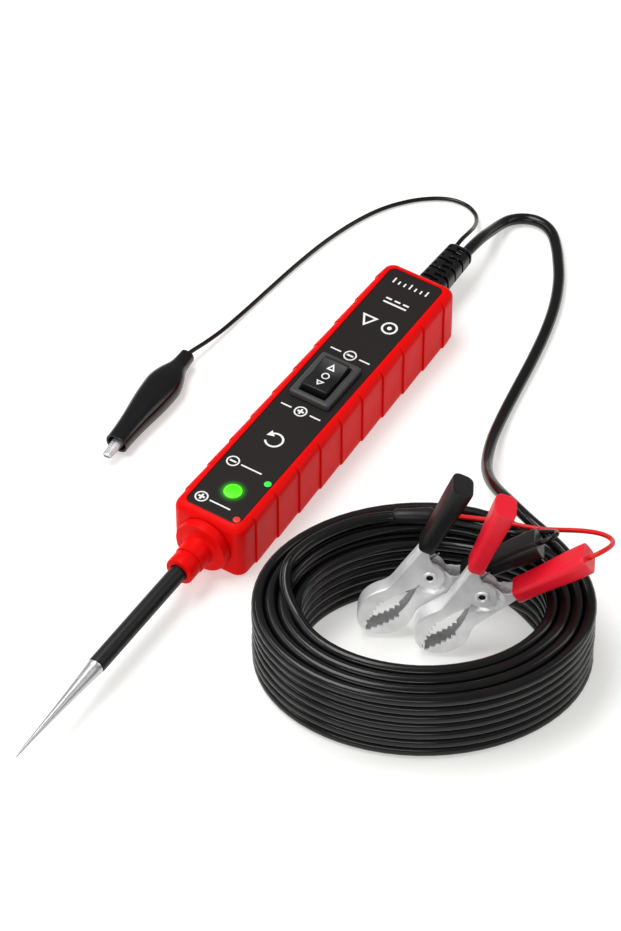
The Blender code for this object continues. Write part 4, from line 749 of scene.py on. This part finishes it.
def rocker_grid():
    """The rocker's side view, carried across its width with softened flanks."""
    top_x = np.linspace(0.0069, -0.0069, 33)
    turn = np.radians([20, 45, 70])
    rise, cut = 0.0005 * np.sin(turn), 0.0005 * (1 - np.cos(turn))
    line_x = np.r_[ROCKER_HALF, ROCKER_HALF, ROCKER_HALF - cut, top_x, -ROCKER_HALF + cut[::-1], -ROCKER_HALF,
                   -ROCKER_HALF, -0.0030, 0.0030]
    line_z = np.r_[-0.0010, 0.0046, 0.0047 + rise, rocker_top(top_x), 0.0047 + rise[::-1], 0.0046, -0.0010,
                   -0.0026, -0.0026]
    middle_z = 0.0012
    away = np.hypot(line_x, line_z - middle_z)
    y = np.array([-ROCKER_SIDE, -ROCKER_SIDE + 0.00008, -ROCKER_SIDE + 0.0003,
                  ROCKER_SIDE - 0.0003, ROCKER_SIDE - 0.00008, ROCKER_SIDE])
    inset = np.array([0.00030, 0.00012, 0.0, 0.0, 0.00012, 0.00030])
    keep = 1 - inset[:, None] / away
    x = line_x * keep
    z = middle_z + (line_z - middle_z) * keep
    return grid_of(SWITCH_MIDDLE + x, y[:, None], PIVOT_Z + z)


ROCKER_BLACK = moulded("rocker_black", (0.006, 0.006, 0.007), 0.38, 0.12)
piece("rocker_key", [skin(rocker_grid())], ROCKER_BLACK, "rocker", "black_plastic", "rocker", sharp=35.0)


def on_rocker(outer, inner):
    """A band between two outlines that lies on the rocker's top."""
    rows = ((outer, -0.00005), (outer, 0.00004), (inner, 0.00004), (inner, -0.00005))
    return stacked([(line + (SWITCH_MIDDLE, 0.0), PIVOT_Z + rocker_top(line[:, 0]) + lift)
                    for line, lift in rows], "joined")


key_marks = [on_rocker(round_line(0.0, 0.0, 0.00140), round_line(0.0, 0.0, 0.00098)),
             on_rocker(three_corners(0.0037, 0.0, 0.00175), three_corners(0.0037, 0.0, 0.00080)),
             on_rocker(three_corners(-0.0037, 0.0, 0.00175, 180), three_corners(-0.0037, 0.0, 0.00080, 180))]
piece("rocker_marks", key_marks, WHITE_INK, "rocker", "black_plastic")


# Lamps
# Three clear tinted lenses on the board below, standing just through the panel. The large green one is lit.


def turned(profile, steps=64):
    """A profile of (radius, height) points turned about an upright axis through zero."""
    profile = np.asarray(profile, float)
    angle = whole_turn(steps)
    return grid_of(profile[:, :1] * np.cos(angle), profile[:, :1] * np.sin(angle), profile[:, 1:])


def lens_paint(x, y, radius, name, body_colour, ring_colour, glow):
    """A tinted lens: the colour at its centre changes to that of its rim, and it glows."""
    paint = Finish(name, Roughness=0.42, Specular_IOR_Level=0.3, Emission_Strength=glow)
    across = paint.place.axis(0) - x
    along = paint.place.axis(1) - y
    away = (across * across + along * along).root() / radius
    grain = paint.place.noise(1500.0, 2.0)
    colour = away.stretch(0.70, 0.92).between(body_colour, ring_colour)
    return paint.feed(Base_Color=colour, Emission_Color=colour, Normal=grain.bump(0.08, 0.00004))


LENS_LOOKS = (("lamp_lit_green", (0.045, 0.80, 0.002, 1.0), (0.10, 0.91, 0.02, 1.0), 0.80),
              ("lamp_green", (0.02, 0.62, 0.05, 1.0), (0.05, 0.75, 0.10, 1.0), 0.45),
              ("lamp_red", (0.72, 0.02, 0.012, 1.0), (0.80, 0.05, 0.03, 1.0), 0.45))
for (label, x, y, radius, slot), looks in zip(LAMPS, LENS_LOOKS):
    dome = np.radians(np.linspace(0, 86, 12))
    profile = np.column_stack([np.r_[radius, radius, radius * np.cos(dome)],
                               np.r_[0.0154, PANEL_TOP, PANEL_TOP + radius * 0.25 * np.sin(dome)]])
    piece(label + "_lens", [skin(turned(profile) + (x, y, 0.0))], lens_paint(x, y, radius, *looks), "tester",
          slot, label)


# Probe
# A steel needle ground to a slim cone, in a black sleeve. The red nose cap holds both: a disc against
# the casing, then a collar in two steps with a fine joint line.

NOSE_FACE = 0.04155


def on_probe(line, steps=64, ends="closed"):
    """A turned skin laid down about the probe, so that its heights run forwards from the nose's face."""
    grid = turned(line, steps)
    return [skin(grid_of(NOSE_FACE + grid[..., 2], grid[..., 1], AXIS_Z - grid[..., 0]), ends)]


def bright_metal(name, colour, roughness, lines, mottle, metallic=1.0):
    """Plated or ground metal: fine lines by a scale along each axis, soft clouds, and dulled patches."""
    paint = Finish(name, Metallic=metallic)
    brushed = paint.place.scaled(*lines).noise(1.0, 3.0)
    cloud = paint.place.noise(90.0, 2.0)
    stain = paint.place.noise(260.0, 2.0)
    tone = (cloud * 0.7 + stain * 0.3).stretch(0.35, 0.62)
    return paint.feed(Base_Color=tone.between(shade(colour, 1 - mottle), shade(colour, 1.0)),
                      Roughness=varied(roughness, (cloud, 0.16), (brushed, 0.06)),
                      Normal=brushed.bump(0.012, 0.00003))


STEEL = bright_metal("steel", (0.56, 0.56, 0.57), 0.36, (120.0, 120.0, 120.0), 0.04)
cap_line = [
    (0.0031, 0.0), (0.0044, 0.0), (0.00475, -0.00015), (0.0049, -0.0005), (0.0049, -0.0052),
    (0.00482, -0.0054), (0.00455, -0.00545), (0.00455, -0.00565), (0.00495, -0.0057), (0.0052, -0.0060),
    (0.0052, -0.0105), (0.0054, -0.0113), (0.0060, -0.0118), (0.0070, -0.0120), (0.0088, -0.0120),
    (0.0092, -0.01215), (0.00935, -0.0125), (0.00935, -0.0155), (0.0052, -0.0155), (0.0052, -0.0180),
    (0.0031, -0.0180)]
piece("nose_cap_skin", on_probe(cap_line, 96, "joined"), RED_PLASTIC, "tester", "red_plastic", "nose_cap",
      sharp=30.0)
sleeve_line = [(0.0021, -0.0040), (0.0029, -0.0040), (0.0029, 0.0452), (0.00286, 0.04545), (0.0027, 0.0457),
               (0.0021, 0.0457)]
piece("sleeve_skin", on_probe(sleeve_line, ends="joined"), BLACK_PLASTIC, "tester", "black_plastic",
      "probe_sleeve")
cone_share = np.linspace(0.03, 0.985, 30)
cone_radius = 0.00035 + 0.00235 * (1 - cone_share) - 0.00019 * np.sin(np.pi * cone_share ** 0.9)
cone = np.column_stack([np.minimum(cone_radius, 0.0027), 0.0460 + 0.0430 * cone_share])
needle_line = np.vstack([[(0.0018, -0.0395), (0.0018, 0.0460), (0.00262, 0.0460), (0.0027, 0.04608),
                          (0.0027, 0.0470)], cone, [(0.00028, 0.0886), (0.00016, 0.0887)]])
piece("needle", on_probe(needle_line), STEEL, "tester", "steel", "probe_rod")


# Inside and below
# The red cover below with its four screws, the lamps' board, the breaker can and the switch's blades.


def board_paint():
    """Green lacquer on glass fibre, with the weave showing through."""
    paint = Finish("board_green")
    threads = 4200.0
    across = (paint.place.axis(0) * threads).sine()
    along = (paint.place.axis(1) * threads).sine()
    weave = across * along * 0.5 + 0.5
    return paint.feed(Base_Color=weave.between((0.012, 0.14, 0.045, 1.0), (0.02, 0.20, 0.07, 1.0)),
                      Roughness=weave * 0.1 + 0.35)


BRASS = bright_metal("brass", (0.78, 0.60, 0.28), 0.37, (900.0, 900.0, 4000.0), 0.15)
cad_paints = {"bottom_cover": RED_PLASTIC, "circuit_board": board_paint(), "trip_breaker": STEEL}
cad_paints.update({"cover_screw_%d" % k: STEEL for k in range(1, 5)})
cad_paints.update({"switch_terminal_%d" % k: BRASS for k in range(1, 4)})


def repaint(name, paint):
    """Gives every slot of a CAD node this paint. The node's mesh and place stay as they are."""
    for holder in nodes[name].material_slots:
        holder.material = paint


for name, paint in cad_paints.items():
    repaint(name, paint)


# Battery clamps
# Each clamp is two channels pressed from thin sheet and plated, hinged on a hollow rivet and held shut by
# a coiled spring. The lower one is narrower at the rivet and sits inside the upper. Vinyl sleeves are
# pushed on to the handles. They stand nose down in the coil's hole.

CLAMP_PLACES = {
    "black": ((0.13400, 0.05375, 0.02460), 186.7, 47.15, -13.5),
    "red": ((0.15005, 0.04433, 0.02640), 182.8, 53.2, -9.9),
}
SHEET = 0.0007
CLAMP_HALF = 0.0030
NOSE = 0.0305
TEETH = 6
TOOTH_PITCH = 0.0020
RIVET_RADIUS = 0.0013
SPRING_WIRE = 0.0006
LUG = 0.0046
HANDLE_ROOT = np.array([-0.0055, 0.0076])
HANDLE_LONG = 0.0265
HANDLE_SLOPE = math.radians(18.0)


def clamp_matrix(colour):
    """Where a clamp stands: X to its nose, Y to its upper handle, Z along its rivet."""
    place, heading, pitch, roll = CLAMP_PLACES[colour]
    turn = Euler([math.radians(a) for a in (90.0 - roll, pitch, heading)]).to_matrix().to_4x4()
    table_turn = Matrix.Rotation(TABLE_TURN, 4, "Z")
    return np.array(Matrix.Translation(Vector(on_table(place))) @ table_turn @ turn)


def held(points, matrix):
    """Points in a clamp's own axes, in the part's axes."""
    return points @ matrix[:3, :3].T + matrix[:3, 3]


def handle_line(distance, offset):
    """Points beside the upper handle's centre line: so far along it, and so far off it."""
    along = np.array([-math.cos(HANDLE_SLOPE), math.sin(HANDLE_SLOPE)])
    across = np.array([math.sin(HANDLE_SLOPE), math.cos(HANDLE_SLOPE)])
    distance, offset = np.broadcast_arrays(np.asarray(distance, float), np.asarray(offset, float))
    return HANDLE_ROOT + distance[..., None] * along + offset[..., None] * across


def clamp_lines():
    """The back line and the mouth line of one half, point for point, from the nose to the handle's end.

    The back bulges over the jaw and dips behind it. The mouth has six teeth, then a bow, the round lug
    and the cheek's hollow. A point on the back lies over its point of the mouth.
    """
    def bow(x):
        return 0.00015 + 0.0030 * np.sin(np.pi * np.clip((0.0295 - x) / 0.0235, 0, 1))

    tooth = NOSE - 0.0010 - TOOTH_PITCH * np.repeat(np.arange(TEETH), 4)
    mouth_x = tooth - np.tile([0.0, 0.0006, 0.0010, 0.0014], TEETH)
    mouth_y = bow(tooth) + np.tile([0.0, 0.0009, 0.0013, 0.0009], TEETH)
    throat_x = np.linspace(0.0175, 0.0060, 9)
    lug = np.radians(np.linspace(6, -205, 26))
    hollow = np.array([(-0.0044, 0.0030), (-0.0048, 0.0042), (-0.0055, 0.0054), (-0.0063, 0.0062)])
    along = np.array([0.0012, 0.0040, 0.0080, 0.0140, 0.0200, HANDLE_LONG])
    handle = handle_line(along, -0.0015)
    mouth = np.vstack([np.column_stack([np.r_[mouth_x, throat_x, LUG * np.cos(lug)],
                                        np.r_[mouth_y, bow(throat_x), LUG * np.sin(lug)]]), hollow, handle])
    bulge = (NOSE, 0.0) + np.array([
        (0.0, 0.0), (-0.0004, 0.0016), (-0.0012, 0.0034), (-0.0028, 0.0053), (-0.0050, 0.0069),
        (-0.0080, 0.0081), (-0.0110, 0.0083), (-0.0140, 0.0077), (-0.0162, 0.0068), (-0.0182, 0.0063),
        (-0.0205, 0.00645)])
    back_line = through(np.vstack([bulge, [(0.0040, 0.0075), (-0.0010, 0.0083), (-0.0050, 0.0090)]]), 400)
    back_x = np.r_[mouth_x + 0.0008 * np.clip((mouth_x - 0.0240) / 0.0055, 0, 1) ** 3, throat_x,
                   np.linspace(0.0046, -0.0047, 26), -0.0049, -0.0051, -0.0054, -0.0058]
    order = np.argsort(back_line[:, 0])
    back = np.column_stack([back_x, np.interp(back_x, back_line[order, 0], back_line[order, 1])])
    back = np.vstack([back, handle_line(along, 0.0015)])
    return back, mouth


def pressed_half(lower):
    """One half's closed skin.

    At each point of the two lines a U of sheet runs from the mouth up the cheek, round a small fold, over
    the back and down the other cheek, and returns inside by the sheet's thickness. The lower half's
    cheeks move inwards round the rivet. A bar is pressed up in the back near the handle.
    """
    back, mouth = clamp_lines()
    down = mouth - back
    tall = np.linalg.norm(down, axis=1)[:, None]
    down = down / tall
    thick = np.minimum(SHEET, 0.42 * tall)
    fold = np.minimum(0.00060, 0.55 * tall)
    quarter = np.radians(np.linspace(0, 90, 6))

    def section(inset):
        """Distances down from the back and out from the middle plane, from one mouth line to the other."""
        bend = np.maximum(fold - inset, 0.00012)
        cheek = fold + (tall - fold) * np.linspace(1, 0.06, 9)
        arc_down = inset + bend * (1 - np.sin(quarter))
        arc_out = CLAMP_HALF - inset - bend + bend * np.cos(quarter)
        web_out = np.array([0.0014, 0.00075, 0.0005, 0.0])
        deep = np.hstack([cheek, arc_down, inset + 0 * tall + 0 * web_out])
        out = np.hstack([CLAMP_HALF - inset + 0 * cheek, arc_out, 0 * tall + web_out])
        return np.hstack([deep, deep[:, -2::-1]]), np.hstack([out, -out[:, -2::-1]])

    (deep, out), (inner_deep, inner_out) = section(0 * thick), section(thick)
    deep = np.hstack([deep, inner_deep[:, ::-1]])
    out = np.hstack([out, inner_out[:, ::-1]])
    x = back[:, :1] + deep * down[:, :1]
    y = back[:, 1:] + deep * down[:, 1:]
    if lower:
        near = 1 - smooth_step((np.hypot(x, y) - 0.0052) / 0.0012)
        out = out * (1 - near * 0.0010 / CLAMP_HALF)
    else:
        bar_up = smooth_step((0.0042 - np.abs(x + 0.0008)) / 0.0010)
        y = y + 0.00035 * bar_up * smooth_step((0.0010 - np.abs(out)) / 0.0004) * (deep < 0.0012)
    return grid_of(x, -y if lower else y, out)


def rivet_line():
    """A hollow rivet with a rolled head at both ends: (radius, height)."""
    roll = np.radians(np.linspace(0, 180, 9))
    head = np.column_stack([0.0017 + 0.0006 * np.cos(roll), 0.0033 + 0.0005 * np.sin(roll)])
    return np.vstack([[(RIVET_RADIUS, 0.0), (RIVET_RADIUS, 0.0033)], head,
                      [(0.00105, 0.00315), (0.0001, 0.00312), (0.0001, -0.00312), (0.00105, -0.00315)],
                      head[::-1] * (1, -1), [(RIVET_RADIUS, -0.0033)]])


def spring_path():
    """Two and a quarter turns round the rivet, with a straight leg into each handle."""
    turns = 2.25
    angle = np.radians(60) + 2 * np.pi * np.linspace(0, turns, 70)
    rise = np.linspace(-0.5, 0.5, 70) * SPRING_WIRE * 1.12 * turns
    coil = np.column_stack([on_ring(0.0, 0.0, RIVET_RADIUS + 0.0003 + SPRING_WIRE / 2, angle), rise])
    leave = np.array([-math.sin(angle[-1]), math.cos(angle[-1]), 0.0])
    return np.vstack([[(-0.0078, 0.0034, rise[0]), (-0.0030, 0.0037, rise[0])], coil,
                      [coil[-1] + leave * 0.0055]])


def grip_grid(lower):
    """The vinyl sleeve: a flat round-cornered tube along the handle, wider and rolled at its far end.

    It starts inside its mouth, comes out over the lip and runs to the closed end.
    """
    distance = np.array([0.0040, 0.0018, 0.00152, 0.0015, 0.0018, 0.0050, 0.0100, 0.0150, 0.0190, 0.0225,
                         0.0252, 0.0268, 0.0275, 0.0279, 0.0280, 0.0280, 0.0280])
    inset = np.r_[0.00062, 0.00058, 0.00040, 0.00010, np.zeros(9), 0.00006, 0.0003, 0.0008, 0.0018]
    grow = 0.0008 * smooth_step((distance - 0.0060) / 0.0200)
    across, out = rounded(0.0027 + grow - inset, 0.0043 + grow - inset, 0.0017 + grow - 0.7 * inset, 8)
    spots = handle_line(distance[:, None], across)
    return grid_of(spots[..., 0], -spots[..., 1] if lower else spots[..., 1], out)


def vinyl(name, colour, roughness, gloss=0.4):
    """Dipped vinyl: glossy and soft, with shallow waves from the dipping and a faint bloom."""
    paint = Finish(name, Specular_IOR_Level=gloss)
    cloud = paint.place.noise(90.0, 2.0)
    fine = paint.place.noise(1400.0, 2.0)
    return paint.feed(Base_Color=cloud.between(shade(colour, 0.86), shade(colour, 1.1, 0.003)),
                      Roughness=varied(roughness, (cloud, 0.10), (fine, 0.04)),
                      Normal=(cloud * 0.9 + fine * 0.1).bump(0.10, 0.0002))


NICKEL = bright_metal("nickel", (0.96, 0.96, 0.97), 0.37, (700.0, 700.0, 700.0), 0.20, 0.42)
SPRING_STEEL = bright_metal("spring_steel", (0.42, 0.42, 0.43), 0.38, (900.0, 900.0, 900.0), 0.2)
GRIP_PAINTS = {"black": (vinyl("grip_black", (0.004, 0.004, 0.004), 0.36, 0.28), "black_plastic"),
               "red": (vinyl("vinyl_red", (0.76, 0.003, 0.020), 0.36), "vinyl_red")}
# Painted shade: a near-black lining for the inside of each rivet's bore, where the hollow lies in shade.
BORE_PAINTED_SHADE = moulded("bore_painted_shade", (0.004, 0.004, 0.004), 0.60, 0.05)
BORE_SHADE_ROWS = (10, 11, 12, 13, 14)
RIVET_SIDES = 40
for colour in ("black", "red"):
    matrix = clamp_matrix(colour)
    sleeve_paint, sleeve_slot = GRIP_PAINTS[colour]
    for half, lower, body in ((colour + "_upper_", False, colour + "_clamp_upper"),
                              (colour + "_lower_", True, "tester")):
        piece(half + "jaw_skin", [skin(held(pressed_half(lower), matrix))], NICKEL, body,
                          "nickel", half + "jaw", sharp=32.0)
        piece(half + "sleeve", [skin(held(grip_grid(lower), matrix))], sleeve_paint, body,
                          sleeve_slot, half + "grip")
    rivet = piece(colour + "_rivet", [skin(held(turned(rivet_line(), RIVET_SIDES), matrix), "joined")],
                  NICKEL, "tester", "nickel", colour + "_clamp_rivet")
    # The bore's rows get the painted shade lining instead of nickel.
    rivet.data.materials.append(BORE_PAINTED_SHADE)
    in_bore = np.repeat(np.isin(np.arange(len(rivet_line())), BORE_SHADE_ROWS), RIVET_SIDES)
    rivet.data.polygons.foreach_set("material_index", in_bore.astype(np.int32))
    piece(colour + "_spring", [skin(held(tube(spring_path(), SPRING_WIRE / 2, 10), matrix))],
                      SPRING_STEEL, "tester", "steel", colour + "_clamp_spring")


# Clamp leads
# A black and a red lead of fine strands in PVC. They leave the junction, cross the coil's top and turn
# back into the lower handles, where they are crimped.

LEAD = 0.0016
LEAD_SIDE = 0.0012
lead_low = COIL_TOP + LEAD / 2
BLACK_ROUTE = [(0.1400, 0.0708, 0.0292), (0.1450, 0.0698, lead_low), (0.1500, 0.0686, lead_low),
               (0.1562, 0.0671, lead_low), (0.1625, 0.0651, 0.0294), (0.1682, 0.0629, 0.0324),
               (0.1720, 0.0600, 0.0360), (0.1738, 0.0570, 0.0386)]
RED_ROUTE = [(0.1400, 0.0733, 0.0292), (0.1460, 0.0729, lead_low), (0.1540, 0.0717, lead_low),
             (0.1620, 0.0695, lead_low), (0.1690, 0.0672, 0.0290), (0.1760, 0.0648, 0.0313),
             (0.1830, 0.0614, 0.0345), (0.1884, 0.0566, 0.0380), (0.1906, 0.0513, 0.0404)]


def eased(path, passes):
    """A path with its corners rounded off: a pass moves every point halfway to its neighbours' middle."""
    path = path.copy()
    for _ in range(passes):
        path[1:-1] = (path[:-2] + 2 * path[1:-1] + path[2:]) / 4
    return path


LEAD_RED = pvc("lead_red", (0.66, 0.006, 0.006), 0.37)
for colour, side, route, paint, slot in (("black", -LEAD_SIDE, BLACK_ROUTE, CORD_BLACK, "cord_black"),
                                         ("red", LEAD_SIDE, RED_ROUTE, LEAD_RED, "lead_red")):
    leaving = [JUNCTION + (JUNCTION_LENGTH + beyond, side, 0.0) for beyond in (-0.0010, 0.0003, 0.0015)]
    inside = handle_line(np.array([0.0325, 0.0283, 0.0240, 0.0160, 0.0100]), 0.0)
    inside = held(grid_of(inside[:, 0], -inside[:, 1], 0.0), clamp_matrix(colour))
    lead_path = eased(through(np.vstack([on_table(leaving + route), inside]), 150), 40)
    lead = piece(colour + "_clamp_lead", [skin(tube(lead_path, LEAD / 2, 12))], paint, "tester", slot,
                 colour + "_lead")


# Ground lead and clip
# A thin black lead that runs over the table to a small sprung clip in a soft black boot.

GROUND_LEAD = 0.0015
GROUND_SIDE = -0.0030
BOOT_NECK = np.array([0.0565, 0.1680])
BOOT_TURN = math.radians(-119.5)
BOOT_Z = 0.0043
BOOT_FORM = np.array([(0.0, 0.0050, 0.0050), (0.0035, 0.0054, 0.0052), (0.0065, 0.0064, 0.0058),
                      (0.0105, 0.0098, 0.0074), (0.0145, 0.0120, 0.0084), (0.0180, 0.0123, 0.0086),
                      (0.0250, 0.0114, 0.0082), (0.0340, 0.0092, 0.0072), (0.0410, 0.0080, 0.0066),
                      (0.0460, 0.0077, 0.0064)])


def from_boot(points):
    """Points in the boot's axes, X to the clip's tip and Y sideways, in the part's axes."""
    right, away = swung(BOOT_TURN, points[..., 0], points[..., 1])
    return on_table(np.stack([BOOT_NECK[0] + right, BOOT_NECK[1] + away, BOOT_Z + points[..., 2]], -1))


def boot_grid():
    """Squarish rounded sections along a smooth line of widths and heights, out to the open mouth, and back
    inside it by the wall's thickness."""
    form = through(BOOT_FORM, 60)
    lip = np.array([(0.0460, 0.0072, 0.0059), (0.0457, 0.0064, 0.0051), (0.0300, 0.0066, 0.0050)])
    form = np.vstack([form[:1] * (1, 0.7, 0.7), form, lip])
    y, z = squarish(whole_turn(96), 0.80)
    return grid_of(form[:, :1], form[:, 1:2] / 2 * y, form[:, 2:3] / 2 * z)


boot = piece("boot", [skin(from_boot(boot_grid()))], vinyl("boot_black", (0.003, 0.003, 0.003), 0.18, 0.30),
             "tester", "black_plastic", "ground_boot")


def clip_jaw(lower):
    """Half of a tapered tube of thin sheet: a low dome across, narrower towards its blunt tip, with small
    teeth along both of its edges and a zigzag seam pressed in along its back."""
    x = np.r_[np.linspace(0.0300, 0.0520, 111), 0.0523, 0.0525]
    blunt = np.r_[np.ones(111), 0.93, 0.72][:, None]
    taper = smooth_step((x - 0.0400) / 0.0125)[:, None]
    half_wide = (0.0022 - 0.0007 * taper) * blunt
    high = (0.00135 - 0.0003 * taper) * blunt
    edge = 0.00008 + 0.00042 * (1 - np.abs(2 * ((x / 0.0010) % 1) - 1))[:, None] * (x > 0.0445)[:, None]
    angle = np.linspace(0, np.pi, 61)
    zigzag = 1.85 + 0.10 * np.abs(2 * ((x / 0.0012) % 1) - 1)[:, None]
    seam = 0.00030 * np.exp(-((angle - zigzag) / 0.07) ** 2)
    rings = []
    for sheet, order in ((0.0, 1), (0.0004, -1)):
        y = (half_wide - sheet) * np.cos(angle)
        z = edge + (high - sheet - edge) * np.sin(angle) ** 0.75 - seam * (sheet == 0.0)
        rings.append(grid_of(x[:, None], y, -z if lower else z)[:, ::order])
    return np.concatenate(rings, axis=1)


CLIP_STEEL = bright_metal("clip_steel", (0.78, 0.78, 0.79), 0.36, (400.0, 400.0, 400.0), 0.15, 0.85)
clip_jaws = [piece("clip_jaw_" + level, [skin(from_boot(clip_jaw(lower)))], CLIP_STEEL, body, "nickel",
                   "ground_jaw_" + level, sharp=35.0)
             for level, lower, body in (("upper", False, "ground_clip_upper"),
                                        ("lower", True, "ground_clip_lower"))]
repaint("ground_rivet", NICKEL)
ground_low = GROUND_LEAD / 2 + 0.0001
ground_route = on_table([relief_exit(GROUND_SIDE, beyond) for beyond in (-0.0030, 0.0, 0.0015)] + [
    (0.1494, 0.2171, 0.0104), (0.1520, 0.2222, 0.0086), (0.1540, 0.2280, 0.0056),
    (0.1550, 0.2338, 0.0029), (0.1546, 0.2390, 0.0013),
    (0.1519, 0.2435, ground_low), (0.1467, 0.2464, ground_low), (0.1400, 0.2470, ground_low),
    (0.1318, 0.2456, ground_low), (0.1225, 0.2418, ground_low), (0.1130, 0.2352, ground_low),
    (0.1034, 0.2263, ground_low), (0.0939, 0.2156, ground_low), (0.0846, 0.2040, ground_low),
    (0.0757, 0.1925, 0.0010), (0.0680, 0.1822, 0.0020), (0.0626, 0.1755, 0.0032)])
ground_end = from_boot(np.array([(-0.0020, 0, 0), (0.0003, 0, 0), (0.0020, 0, 0)]))
ground_path = through(np.vstack([ground_route, ground_end]), 240)
ground_cord = piece("ground_cord", [skin(tube(ground_path, GROUND_LEAD / 2, 12))], CORD_BLACK, "tester",
                    "cord_black", "ground_lead")
